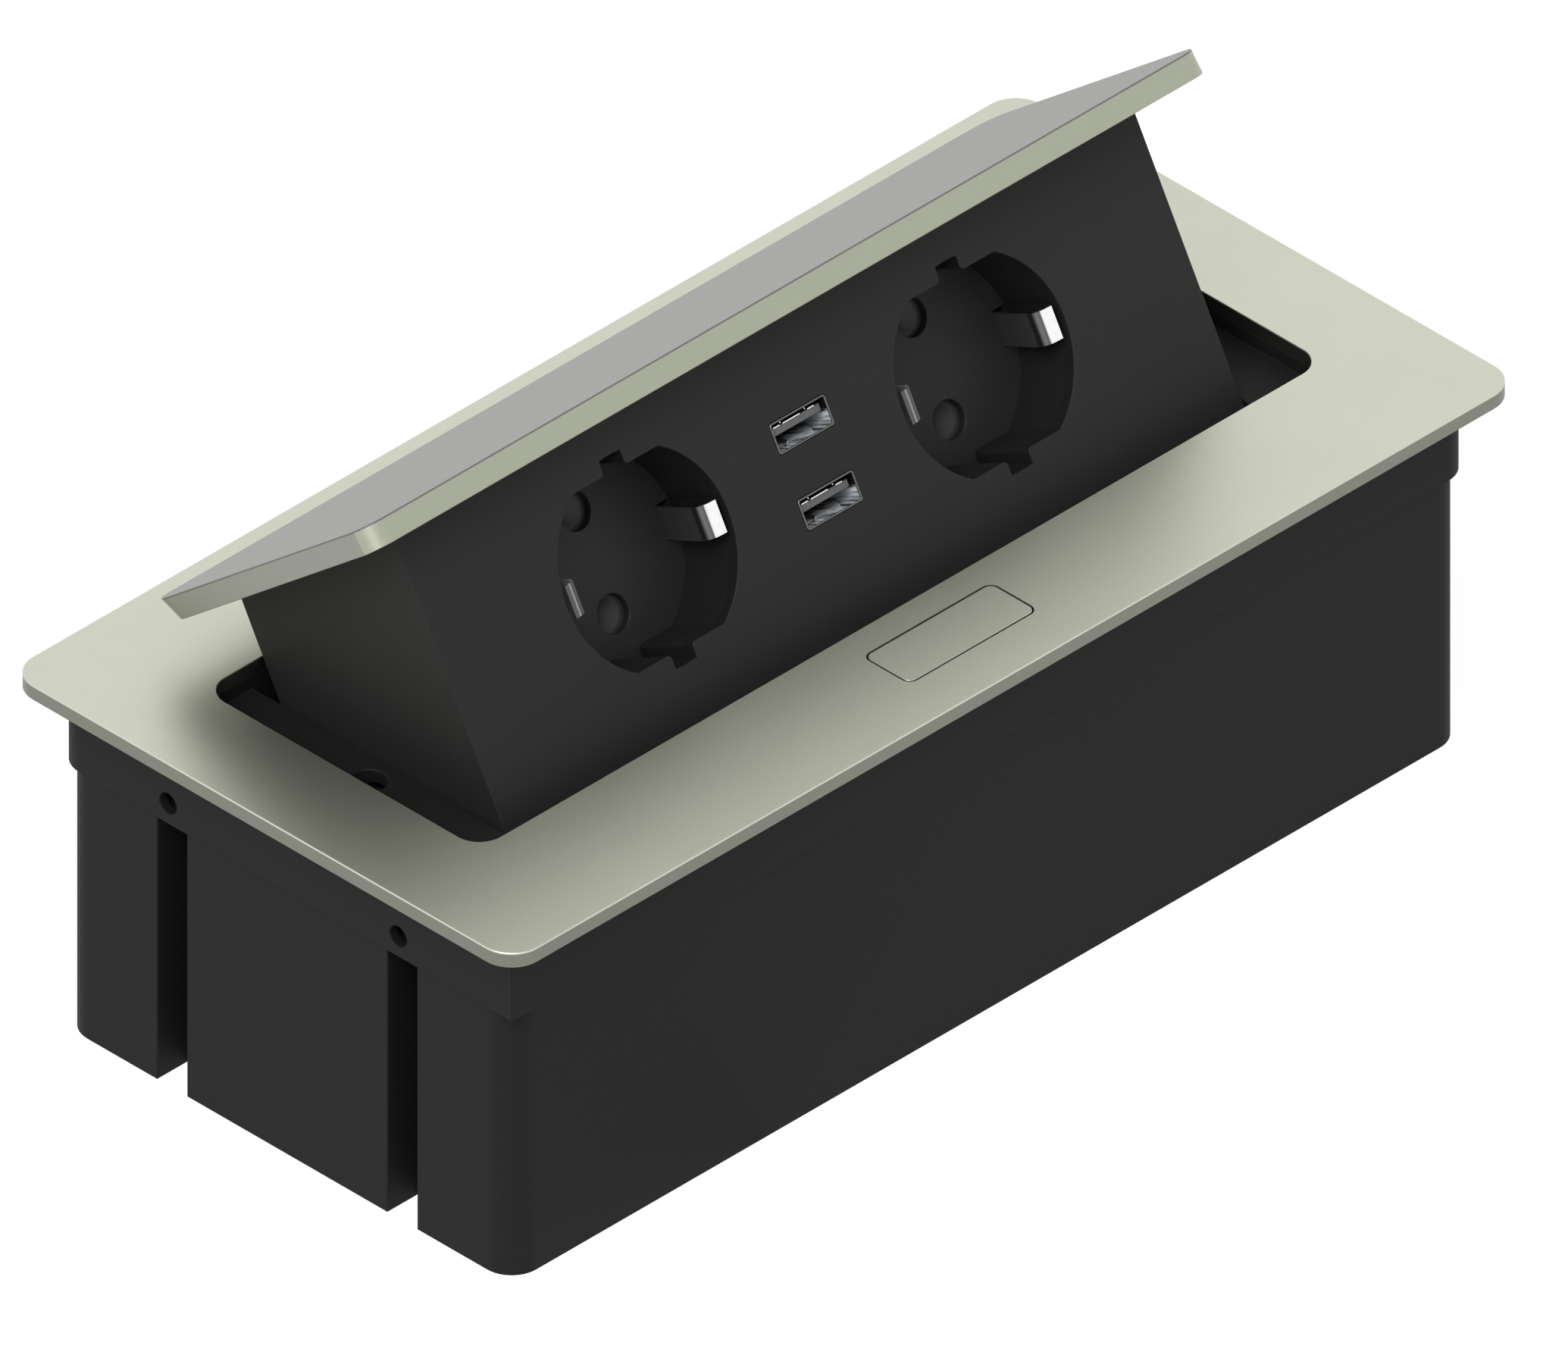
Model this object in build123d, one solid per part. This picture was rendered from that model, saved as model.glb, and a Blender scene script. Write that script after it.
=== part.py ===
from build123d import *
import math
import os

# A furniture socket that sits flush in a desk and flips up, shown open as in use.
# X runs along the flange, -Y is the side that the sockets face, and Z = 0 is the desk
# surface, which is the underside of the flange. The flip-up module is drawn closed, and
# open_pose() swings it about the virtual hinge axis that its guide slots are centred on.

# Flange plate, lid opening and button
FRAME_LENGTH = 240.0
FRAME_DEPTH = 120.0
FRAME_THICKNESS = 3.0
FRAME_CORNER = 6.0
OPENING_LENGTH = 201.0
OPENING_DEPTH = 65.6
OPENING_CORNER = 5.0
BUTTON_LENGTH = 30.0
BUTTON_DEPTH = 10.7
BUTTON_CORNER = 1.5
BUTTON_INSET = 15.6
BUTTON_GROOVE = 0.4
BUTTON_TRAVEL = 2.5
BUTTON_CAP_HEIGHT = 6.5
BUTTON_FLANGE = 1.0
BUTTON_FLANGE_THICKNESS = 1.5

# Collar and tub below the flange
COLLAR_LENGTH = 229.0
COLLAR_DEPTH = 109.0
COLLAR_HEIGHT = 15.0
COLLAR_RECESS = 0.3
RECESS_CLEARANCE = 0.2
HOUSING_CORNER = 6.0
HOUSING_WALL = 2.0
LEDGE_DROP = 2.6
LEDGE_THICKNESS = 2.6
LEDGE_HOLE_RADIUS = 3.25
LEDGE_HOLE_X = 94.0
TUB_INSET = 1.0
TUB_HEIGHT = 55.0
TUB_FLOOR = 2.5
LIP_HEIGHT = 3.0
LIP_WALL = 1.6
LONG_LIP = 60.0
LONG_LIP_X = 55.0
CHANNEL_WIDTH = 7.0
CHANNEL_DEPTH = 7.5
CHANNEL_Y = 27.4
END_HOLE_RADIUS = 2.0
END_HOLE_Z = -10.8
POST_RADIUS = 5.5
POST_INSET = 7.0
GLAND_PLATE_WIDTH = 26.0
GLAND_PLATE_HEIGHT = 22.0
GLAND_STEP = 2.0
GLAND_STEP_THICKNESS = 1.0
GLAND_BORE = 4.5
GLAND_NECK = 6.9
GLAND_FLANGE = 9.0
GLAND_FLANGE_THICKNESS = 2.0

# Flip-up module, drawn closed
LID_LENGTH = 199.8
LID_GAP = 0.35
LID_THICKNESS = 4.5
LID_CORNER = 5.0
LID_BEVEL = 2.6
MODULE_LENGTH = 176.0
MODULE_DEPTH = 47.8
MODULE_HEIGHT = 57.1
MODULE_SETBACK = 9.3
LEDGE_GAP = 0.6
FACE_TILT = 10.0
SHELL_WALL = 2.5
OPEN_ANGLE = 38.75
PIVOT_Y = 54.8
PIVOT_Z = -11.1

# Round socket wells, along the sloping face
SOCKET_SPACING = 80.0
SOCKET_DROP = 26.1
WELL_RADIUS = 19.35
WELL_DEPTH = 14.7
WELL_FLAT = 16.42
WELL_NOTCH_WIDTH = 5.0
WELL_NOTCH_DEPTH = 19.3
WELL_FLOOR = 1.5
WELL_LUG_RADIUS = 0.9
INSERT_WIDTH = 44.0
INSERT_HEIGHT = 40.0
PIN_SPACING = 19.0
PIN_HOLE_RADIUS = 3.45
BACK_WIDTH = 42.0
BACK_HEIGHT = 33.0
BACK_DEPTH = 15.8
SHUTTER_THICKNESS = 1.6
SHUTTER_WIDTH = 19.0
SHUTTER_HEIGHT = 28.0
SHUTTER_TRAVEL = 8.5
SHUTTER_CLEARANCE = 0.3
SHUTTER_DISH = 0.6
DISH_MOUTH = 2.9
CONTACT_RADIUS = 3.2
CONTACT_BORE = 2.4
CONTACT_SLIT = 0.8
CLIP_WIDTH = 6.0
CLIP_THICKNESS = 0.7
CLIP_CLEARANCE = 0.3
CLIP_SLOT_BACK = 2.4

# Charging ports
PORT_WIDTH = 13.1
PORT_HEIGHT = 5.65
PORT_SPACING = 14.0
PORT_DEPTH = 13.0
PORT_CORNER = 0.6
PORT_SHEET = 0.35
PORT_CLEARANCE = 0.1
TONGUE_WIDTH = 11.1
TONGUE_THICKNESS = 1.4
TONGUE_RISE = 0.9
PORT_FIT = 0.05
PORT_BASE = 3.0
TONGUE_SETBACK = 1.0
BOARD_WIDTH = 26.0
BOARD_HEIGHT = 38.0
BOARD_THICKNESS = 1.6

# Guide quadrants, their pins and the toothed arcs
QUADRANT_THICKNESS = 2.5
QUADRANT_FLANGE = 2.0
QUADRANT_GAP = 1.5
PIN_RADIUS = 2.85
SLOT_CLEARANCE = 0.15
SLOT_WEB = 3.0
INNER_PIN_ANGLE = -3.25
OUTER_PIN_ANGLE = -2.75
SIDE_CLEARANCE = 0.3
TOOTH_MODULE = 0.6
PINION_TEETH = 18
QUADRANT_TEETH = 149
BACKLASH = 0.12
PINION_ANGLE = -6.0
CASE_RADIUS = 8.5
CASE_DEPTH = 10.0
CASE_WING = 3.0
SHAFT_RADIUS = 1.5
SHAFT_CLEARANCE = 0.05

# Latch
LATCH_STRIP = 1.5
LATCH_WIDTH = 8.0
LATCH_ENGAGEMENT = 1.8
LATCH_GAP = 0.3
STRIKE_Y = -11.0
STRIKE_DROP = 3.9
STRIKE_SHEET = 1.0
SPRING_STRIP = 0.5

# Screws
SCREW_HOLE = 1.5
SCREW_CLEARANCE = 0.1
HEAD_RADIUS = 2.6
FRAME_SCREW_HEAD = 1.6
FRAME_SCREW_DEPTH = 2.0
FRAME_END_SCREW_INSET = 13.0
FRAME_SIDE_SCREW_INSET = 16.0
POST_GRIP = 9.0
COUNTERBORE_RADIUS = 3.2
COUNTERBORE_TOP = -30.0
QUADRANT_SCREW_GRIP = 1.9
QUADRANT_SCREW_SIDE = 3.0
QUADRANT_SCREW_INSET = 4.9
LID_SCREW_DEPTH = 3.0
LID_SCREW_INSET = 14.0
LID_SCREW_REACH = 12.0
COVER_GRIP = 6.0
COVER_SCREW_INSET = 20.0
COVER_SCREW_RISE = 5.1
COVER_SCREW_SPAN = 34.0

# Button pocket, stem and leaf spring
BUTTON_ROOM = 0.5
POCKET_WALL = 1.5
POCKET_BOTTOM = -12.0
STEM_LENGTH = 8.0
STEM_DEPTH = 3.0
STEM_BOTTOM = -20.0
STEM_CLEARANCE = 0.3
GUIDE_RIB = 2.0
GUIDE_RIB_Z = (-50.0, -38.0)
SPRING_HALF_SPAN = 13.0
SPRING_Y = (-50.2, -47.4)
STRIKE_SCREW_X = (-5.0, 5.0)
STRIKE_SCREW_Y = -1.0
STRIKE_HALF_WIDTH = 9.0

# Quadrant outline and guide pins
FLANGE_OUTER = 100.0
QUADRANT_LOW_END = -56.0
QUADRANT_HIGH_END = 12.0
QUADRANT_FOOT = -66.0
QUADRANT_FLANGE_Y = (-13.4, 23.4)
PIN_SHANK = 2.0
PIN_COLLAR = 4.0
PIN_HEAD_DEPTH = 1.6

# Details inside the module
COVER_GAP = 0.15
BOSS = 8.0
BOSS_DEPTH = 12.0
SHUTTER_EDGE = 4.6
CLIP_FLOOR_X = 16.85
CLIP_PATH = [(18.6, -1.7), (17.2, -2.5), (15.85, -3.75), (CLIP_FLOOR_X, -WELL_DEPTH)]
BAR_WIDTH = 5.0
BAR_THICKNESS = 0.8
TERMINAL_LENGTH = 32.0
TERMINAL_HEIGHT = 30.0
TERMINAL_DEPTH = 8.0
WIRE_ENTRY = 4.0
WIRE_ENTRY_DEPTH = 10.0
CLAMP_HOLE = 1.6
COIL_SIZE = 9.0
COIL_HEIGHT = 6.0
CHIP_SIZE = 6.0
CHIP_HEIGHT = 1.5
CAPACITOR_RADIUS = 4.0
CAPACITOR_HEIGHT = 9.0

# Places that follow from the sizes above
FRAME_TOP = FRAME_THICKNESS
LID_UNDERSIDE = FRAME_TOP - LID_THICKNESS
MODULE_BOTTOM = LID_UNDERSIDE - MODULE_HEIGHT
COLLAR_BOTTOM = -COLLAR_HEIGHT
TUB_BOTTOM = COLLAR_BOTTOM - TUB_HEIGHT
FLOOR_TOP = TUB_BOTTOM + TUB_FLOOR
LEDGE_TOP = -LEDGE_DROP
LEDGE_BOTTOM = LEDGE_TOP - LEDGE_THICKNESS
LEDGE_INNER = MODULE_LENGTH / 2 + LEDGE_GAP
LID_DEPTH = OPENING_DEPTH - 2 * LID_GAP
FRONT_Y = -LID_DEPTH / 2 + MODULE_SETBACK
TILT = math.radians(FACE_TILT)
FACE_THICKNESS = MODULE_DEPTH * math.cos(TILT)
PLATE_INNER = MODULE_LENGTH / 2 + QUADRANT_GAP
PLATE_OUTER = PLATE_INNER + QUADRANT_THICKNESS
PINION_PITCH = TOOTH_MODULE * PINION_TEETH / 2
ARC_PITCH = TOOTH_MODULE * QUADRANT_TEETH / 2
PINION_PATH = ARC_PITCH + PINION_PITCH
TUB_LENGTH = COLLAR_LENGTH - 2 * TUB_INSET
TUB_DEPTH = COLLAR_DEPTH - 2 * TUB_INSET
BUTTON_Y = BUTTON_INSET - FRAME_DEPTH / 2
STEM_Y = BUTTON_Y
GLAND_X = LONG_LIP_X + (LONG_LIP - GLAND_PLATE_WIDTH) / 2
GLAND_Z = COLLAR_BOTTOM - GLAND_PLATE_HEIGHT / 2
BACK_FRONT = -WELL_DEPTH - WELL_FLOOR
BACK_REAR = BACK_FRONT - BACK_DEPTH
POCKET_DEPTH = SHUTTER_THICKNESS + 2 * SHUTTER_CLEARANCE
STRIKE_BOTTOM = MODULE_BOTTOM - STRIKE_DROP
LATCH_FACE = STEM_Y + STEM_DEPTH / 2
PINION_TIP = PINION_PITCH + 0.9 * TOOTH_MODULE
WINDOW_OUTER = PINION_PATH + PINION_TIP + 0.5
WINDOW_MARGIN = math.degrees((PINION_TIP + 0.5) / PINION_PATH)
ARC_ROOT = ARC_PITCH - 1.2 * TOOTH_MODULE
SLOT_HALF = PIN_RADIUS + SLOT_CLEARANCE
INNER_PIN_PATH = ARC_ROOT - SLOT_WEB - SLOT_HALF
OUTER_PIN_PATH = WINDOW_OUTER + SLOT_WEB + SLOT_HALF
QUADRANT_INNER = INNER_PIN_PATH - SLOT_HALF - SLOT_WEB
QUADRANT_OUTER = OUTER_PIN_PATH + SLOT_HALF + SLOT_WEB
NOTCH_HALF = LEDGE_HOLE_RADIUS + 1.0
COVER_HEAD_RADIUS = HEAD_RADIUS + 0.2
POST_SPOTS = [
    (sx * (COLLAR_LENGTH / 2 - POST_INSET), sy * (COLLAR_DEPTH / 2 - POST_INSET))
    for sx in (-1, 1)
    for sy in (-1, 1)
]
FRAME_SCREW_SPOTS = [(sx * (FRAME_LENGTH / 2 - FRAME_END_SCREW_INSET), 0.0) for sx in (-1, 1)]
FRAME_SCREW_SPOTS += [
    (sx * FRAME_LENGTH / 4, sy * (FRAME_DEPTH / 2 - FRAME_SIDE_SCREW_INSET))
    for sx in (-1, 1)
    for sy in (-1, 1)
]
QUADRANT_SCREW_SPOTS = [
    (FLANGE_OUTER - QUADRANT_SCREW_SIDE, QUADRANT_FLANGE_Y[0] + QUADRANT_SCREW_INSET),
    (FLANGE_OUTER - QUADRANT_SCREW_SIDE, QUADRANT_FLANGE_Y[1] - QUADRANT_SCREW_INSET),
]
LID_SCREW_SPOTS = [
    (sx * (MODULE_LENGTH / 2 - LID_SCREW_INSET), sy * LID_SCREW_REACH) for sx in (-1, 1) for sy in (-1, 1)
]
COVER_SCREW_LOW = COVER_SCREW_RISE - MODULE_HEIGHT
COVER_SCREW_SPOTS = [
    (sx * (MODULE_LENGTH / 2 - COVER_SCREW_INSET), y)
    for sx in (-1, 1)
    for y in (COVER_SCREW_LOW, COVER_SCREW_LOW + COVER_SCREW_SPAN)
]
PORT_SPOTS = [(0, -SOCKET_DROP + sy * PORT_SPACING / 2) for sy in (-1, 1)]
SOCKET_SPOTS = {"left": -SOCKET_SPACING / 2, "right": SOCKET_SPACING / 2}

HINGE_AXIS = Axis((0, PIVOT_Y, PIVOT_Z), (1, 0, 0))
FACE_PLANE = Plane(
    origin=(0, FRONT_Y, LID_UNDERSIDE),
    x_dir=(1, 0, 0),
    z_dir=(0, -math.cos(TILT), -math.sin(TILT)),
)


def open_pose(shape):
    """Swing a piece of the closed module up to where the photograph shows it."""
    return shape.rotate(HINGE_AXIS, -OPEN_ANGLE)


def slab(outline, low, high):
    """A flat outline raised between two heights."""
    return Pos(0, 0, low) * extrude(outline, high - low)


def block(x, y, z):
    """A box given by its low and high side in each direction."""
    size = [high - low for low, high in (x, y, z)]
    middle = [(low + high) / 2 for low, high in (x, y, z)]
    return Pos(*middle) * Box(*size)


def upright(points, x_low, x_high):
    """A profile of Y and Z points carried along X."""
    outline = make_face(Polyline(*points, close=True))
    return extrude(Plane.YZ.offset(x_low) * outline, x_high - x_low)


def rod(y, z, radius, x_low, x_high):
    """A round bar along X."""
    return extrude(Plane.YZ.offset(x_low) * Pos(y, z) * Circle(radius), x_high - x_low)


def on_face(shape):
    """Place a piece drawn on the sloping face, then open the module."""
    return open_pose(FACE_PLANE * shape)


def save(shapes, name):
    """Write one node as separate solids."""
    solids = []
    for shape in shapes if isinstance(shapes, list) else [shapes]:
        solids += shape.solids()
    export_step(Compound(children=solids), f"parts/{name}.step")


# Fixed housing


def make_top_frame():
    """The aluminium flange plate, with a shallow seat for the collar underneath."""
    plate = slab(RectangleRounded(FRAME_LENGTH, FRAME_DEPTH, FRAME_CORNER), 0, FRAME_TOP)
    plate -= slab(RectangleRounded(OPENING_LENGTH, OPENING_DEPTH, OPENING_CORNER), -1, FRAME_TOP + 1)
    hole = RectangleRounded(
        BUTTON_LENGTH + 2 * BUTTON_GROOVE,
        BUTTON_DEPTH + 2 * BUTTON_GROOVE,
        BUTTON_CORNER + BUTTON_GROOVE,
    )
    plate -= Pos(0, BUTTON_Y, 0) * slab(hole, -1, FRAME_TOP + 1)
    seat = Rectangle(COLLAR_LENGTH + 2 * RECESS_CLEARANCE, COLLAR_DEPTH + 2 * RECESS_CLEARANCE)
    plate -= slab(seat, -1, COLLAR_RECESS)
    for x, y in FRAME_SCREW_SPOTS:
        plate -= Pos(x, y, 0) * slab(Circle(SCREW_HOLE), 0, COLLAR_RECESS + FRAME_SCREW_DEPTH)
    return plate


def housing_outline(length, depth, square_corner=False):
    """Rectangle with rounded corners. The collar keeps its front left corner square."""
    outline = RectangleRounded(length, depth, HOUSING_CORNER)
    if square_corner:
        corner = Rectangle(HOUSING_CORNER, HOUSING_CORNER, align=(Align.MIN, Align.MIN))
        outline += Pos(-length / 2, -depth / 2) * corner
    return outline


def make_collar():
    """The moulded upper housing: deck, outer wall, end ledges, skirts and button pocket."""
    outer = housing_outline(COLLAR_LENGTH, COLLAR_DEPTH, square_corner=True)
    inner = housing_outline(COLLAR_LENGTH - 2 * HOUSING_WALL, COLLAR_DEPTH - 2 * HOUSING_WALL)
    collar = slab(outer, COLLAR_BOTTOM, COLLAR_RECESS) - slab(inner, COLLAR_BOTTOM - 1, LEDGE_TOP)
    skirt_length = OPENING_LENGTH + 2 * HOUSING_WALL
    skirt_depth = OPENING_DEPTH + 2 * HOUSING_WALL
    for side in (-1, 1):
        skirt = slab(Rectangle(skirt_length, HOUSING_WALL), COLLAR_BOTTOM, LEDGE_TOP)
        collar += Pos(0, side * (OPENING_DEPTH + HOUSING_WALL) / 2, 0) * skirt
        ledge = block(
            (LEDGE_INNER, skirt_length / 2),
            (-skirt_depth / 2, skirt_depth / 2),
            (LEDGE_BOTTOM, LEDGE_TOP),
        )
        collar += ledge if side > 0 else mirror(ledge, Plane.YZ)
        for y in (-CHANNEL_Y, CHANNEL_Y):
            roof = block(
                (TUB_LENGTH / 2 - CHANNEL_DEPTH - HOUSING_WALL, COLLAR_LENGTH / 2 - HOUSING_WALL),
                (y - CHANNEL_WIDTH / 2 - HOUSING_WALL, y + CHANNEL_WIDTH / 2 + HOUSING_WALL),
                (COLLAR_BOTTOM, COLLAR_BOTTOM + HOUSING_WALL),
            )
            collar += roof if side > 0 else mirror(roof, Plane.YZ)
    for x, y in POST_SPOTS:
        collar += Pos(x, y, 0) * slab(Circle(POST_RADIUS), COLLAR_BOTTOM, LEDGE_TOP)
    pocket_length = BUTTON_LENGTH + 2 * (BUTTON_FLANGE + BUTTON_ROOM)
    pocket_depth = BUTTON_DEPTH + 2 * (BUTTON_FLANGE + BUTTON_ROOM)
    walls = Rectangle(pocket_length + 2 * POCKET_WALL, pocket_depth + 2 * POCKET_WALL)
    collar += Pos(0, BUTTON_Y, 0) * slab(walls, POCKET_BOTTOM - POCKET_WALL, LEDGE_TOP)
    collar -= Pos(0, BUTTON_Y, 0) * slab(Rectangle(pocket_length, pocket_depth), POCKET_BOTTOM, 1)
    slot = Rectangle(STEM_LENGTH + 2 * STEM_CLEARANCE, STEM_DEPTH + 2 * STEM_CLEARANCE)
    collar -= Pos(0, STEM_Y, 0) * slab(slot, POCKET_BOTTOM - 2 * POCKET_WALL, POCKET_BOTTOM + 1)
    opening = RectangleRounded(OPENING_LENGTH, OPENING_DEPTH, OPENING_CORNER)
    collar -= slab(opening, LEDGE_TOP, COLLAR_RECESS + 1)
    for x in (-LEDGE_HOLE_X, LEDGE_HOLE_X):
        collar -= Pos(x, 0, 0) * slab(Circle(LEDGE_HOLE_RADIUS), LEDGE_BOTTOM - 1, LEDGE_TOP + 1)
    for y in (-CHANNEL_Y, CHANNEL_Y):
        for side in (-1, 1):
            outside = side * COLLAR_LENGTH / 2
            x_low, x_high = sorted((outside - side * (HOUSING_WALL + 1), outside + side))
            collar -= rod(y, END_HOLE_Z, END_HOLE_RADIUS, x_low, x_high)
    for x, y in FRAME_SCREW_SPOTS:
        collar -= Pos(x, y, 0) * slab(Circle(SCREW_HOLE), LEDGE_TOP - 1, COLLAR_RECESS + 1)
    for x, y in POST_SPOTS:
        collar -= Pos(x, y, 0) * slab(Circle(SCREW_HOLE), COLLAR_BOTTOM - 1, COLLAR_BOTTOM + POST_GRIP)
    for x, y in QUADRANT_SCREW_SPOTS:
        for side in (-1, 1):
            hole = slab(Circle(SCREW_HOLE), LEDGE_BOTTOM - 1, LEDGE_BOTTOM + QUADRANT_SCREW_GRIP)
            collar -= Pos(side * x, y, 0) * hole
    return collar


def make_tub():
    """The moulded lower housing, with the two open channels in each end."""
    tub = slab(housing_outline(TUB_LENGTH, TUB_DEPTH), TUB_BOTTOM, COLLAR_BOTTOM)
    inside = housing_outline(TUB_LENGTH - 2 * HOUSING_WALL, TUB_DEPTH - 2 * HOUSING_WALL)
    tub -= slab(inside, FLOOR_TOP, COLLAR_BOTTOM + 1)
    lip_y = (COLLAR_DEPTH - LIP_WALL) / 2 - HOUSING_WALL - RECESS_CLEARANCE
    lip_x = (COLLAR_LENGTH - LIP_WALL) / 2 - HOUSING_WALL - RECESS_CLEARANCE
    lip_inner = TUB_DEPTH / 2 - HOUSING_WALL
    for side in (-1, 1):
        long_lip = slab(Rectangle(LONG_LIP, LIP_WALL), COLLAR_BOTTOM - 1, COLLAR_BOTTOM + LIP_HEIGHT)
        tub += Pos(-LONG_LIP_X, side * lip_y, 0) * long_lip
        tub += Pos(LONG_LIP_X, side * lip_y, 0) * long_lip
        short_lip = slab(Rectangle(LIP_WALL, CHANNEL_Y), COLLAR_BOTTOM - 1, COLLAR_BOTTOM + LIP_HEIGHT)
        tub += Pos(side * lip_x, 0, 0) * short_lip
    for x, y in POST_SPOTS:
        post = slab(Circle(POST_RADIUS), TUB_BOTTOM, COLLAR_BOTTOM)
        tub += Pos(x, y, 0) * post & slab(housing_outline(TUB_LENGTH, TUB_DEPTH), TUB_BOTTOM, COLLAR_BOTTOM)
    end = TUB_LENGTH / 2
    for side in (-1, 1):
        for y in (-CHANNEL_Y, CHANNEL_Y):
            half = CHANNEL_WIDTH / 2
            box = block(
                (end - CHANNEL_DEPTH - HOUSING_WALL, end - HOUSING_WALL / 2),
                (y - half - HOUSING_WALL, y + half + HOUSING_WALL),
                (TUB_BOTTOM, COLLAR_BOTTOM),
            )
            cut = block(
                (end - CHANNEL_DEPTH, end + 1),
                (y - half, y + half),
                (TUB_BOTTOM - 1, COLLAR_BOTTOM + 1),
            )
            tub += box if side > 0 else mirror(box, Plane.YZ)
            tub -= cut if side > 0 else mirror(cut, Plane.YZ)
    for x, y in POST_SPOTS:
        tub -= Pos(x, y, 0) * slab(Circle(SCREW_HOLE + SCREW_CLEARANCE), TUB_BOTTOM - 1, COLLAR_BOTTOM + 1)
        tub -= Pos(x, y, 0) * slab(Circle(COUNTERBORE_RADIUS), TUB_BOTTOM - 1, COUNTERBORE_TOP)
    back = TUB_DEPTH / 2
    notch_x = (GLAND_X - GLAND_PLATE_WIDTH / 2, GLAND_X + GLAND_PLATE_WIDTH / 2)
    notch_z = (COLLAR_BOTTOM - GLAND_PLATE_HEIGHT, COLLAR_BOTTOM + LIP_HEIGHT + 1)
    tub -= block(notch_x, (back - HOUSING_WALL - LIP_WALL, back + 1), notch_z)
    front = -TUB_DEPTH / 2 + HOUSING_WALL
    for side in (-1, 1):
        near = LATCH_WIDTH / 2 + STEM_CLEARANCE
        x_low, x_high = sorted((side * near, side * (near + GUIDE_RIB)))
        tub += block((x_low, x_high), (front - 1, LATCH_FACE + LATCH_STRIP + 1), GUIDE_RIB_Z)
    return tub


def screw(x, y, head_bottom, head_top, tip):
    """A plain screw that points up."""
    head = Pos(x, y, 0) * slab(Circle(HEAD_RADIUS), head_bottom, head_top)
    return head + Pos(x, y, 0) * slab(Circle(SCREW_HOLE - SCREW_CLEARANCE), head_top, tip)


def make_frame_screws():
    tip = COLLAR_RECESS + FRAME_SCREW_DEPTH - SCREW_CLEARANCE
    return [screw(x, y, LEDGE_TOP - FRAME_SCREW_HEAD, LEDGE_TOP, tip) for x, y in FRAME_SCREW_SPOTS]


def make_housing_screws():
    tip = COLLAR_BOTTOM + POST_GRIP - SCREW_CLEARANCE
    return [screw(x, y, COUNTERBORE_TOP - FRAME_SCREW_HEAD, COUNTERBORE_TOP, tip) for x, y in POST_SPOTS]


def make_gland_plate():
    """The plate that slides down into a notch of the back wall. A step holds it from inside."""
    back = TUB_DEPTH / 2
    half = GLAND_PLATE_WIDTH / 2
    bottom = COLLAR_BOTTOM - GLAND_PLATE_HEIGHT
    plate = block((GLAND_X - half, GLAND_X + half), (back - HOUSING_WALL, back), (bottom, COLLAR_BOTTOM))
    step = block(
        (GLAND_X - half - GLAND_STEP, GLAND_X + half + GLAND_STEP),
        (back - HOUSING_WALL - GLAND_STEP_THICKNESS, back - HOUSING_WALL),
        (bottom - GLAND_STEP, COLLAR_BOTTOM - LIP_HEIGHT),
    )
    rim = Pos(GLAND_X, GLAND_Z) * Circle(GLAND_FLANGE + RECESS_CLEARANCE)
    step -= extrude(Plane.XZ.offset(HOUSING_WALL - back) * rim, 2 * GLAND_STEP_THICKNESS)
    neck = Plane.XZ.offset(-back - 1) * Pos(GLAND_X, GLAND_Z) * Circle(GLAND_NECK)
    return plate + step - extrude(neck, HOUSING_WALL + 2)


def make_cable_gland():
    """A rubber grommet that is snapped into its plate in the back wall."""
    back = TUB_DEPTH / 2
    sections = [
        (GLAND_FLANGE, back, back + GLAND_FLANGE_THICKNESS),
        (GLAND_NECK, back - HOUSING_WALL, back),
        (GLAND_FLANGE, back - HOUSING_WALL - GLAND_FLANGE_THICKNESS, back - HOUSING_WALL),
    ]
    gland = None
    for radius, low, high in sections:
        ring = extrude(Plane.XZ.offset(-high) * Pos(GLAND_X, GLAND_Z) * Circle(radius), high - low)
        gland = ring if gland is None else gland + ring
    bore = Plane.XZ.offset(-back - 10) * Pos(GLAND_X, GLAND_Z) * Circle(GLAND_BORE)
    return gland - extrude(bore, 20)


# Guide quadrants with two arc slots and a toothed arc each


def polar(radius, degrees):
    """A point about the hinge axis. The angle is 0 towards the front and grows upwards."""
    angle = math.radians(degrees)
    return (PIVOT_Y - radius * math.cos(angle), PIVOT_Z + radius * math.sin(angle))


def ring_sector(inner, outer, low, high):
    middle = (low + high) / 2
    edges = ThreePointArc(polar(outer, low), polar(outer, middle), polar(outer, high))
    edges += Line(polar(outer, high), polar(inner, high))
    edges += ThreePointArc(polar(inner, high), polar(inner, middle), polar(inner, low))
    edges += Line(polar(inner, low), polar(outer, low))
    return make_face(edges)


def arc_slot(radius, open_angle):
    """The path of a guide pin from closed to open, with round ends."""
    closed_angle = open_angle - OPEN_ANGLE
    slot = ring_sector(radius - SLOT_HALF, radius + SLOT_HALF, closed_angle, open_angle)
    for angle in (closed_angle, open_angle):
        slot += Pos(*polar(radius, angle)) * Circle(SLOT_HALF)
    return slot


def tooth_half_angle(teeth, radius):
    """Half the angle of an involute tooth at a radius, in radians."""
    pressure = math.radians(20)
    pitch = TOOTH_MODULE * teeth / 2
    base = pitch * math.cos(pressure)
    slope = math.acos(base / max(radius, base))
    at_pitch = math.pi / (2 * teeth) - BACKLASH / (4 * pitch)
    return at_pitch + (math.tan(pressure) - pressure) - (math.tan(slope) - slope)


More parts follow.
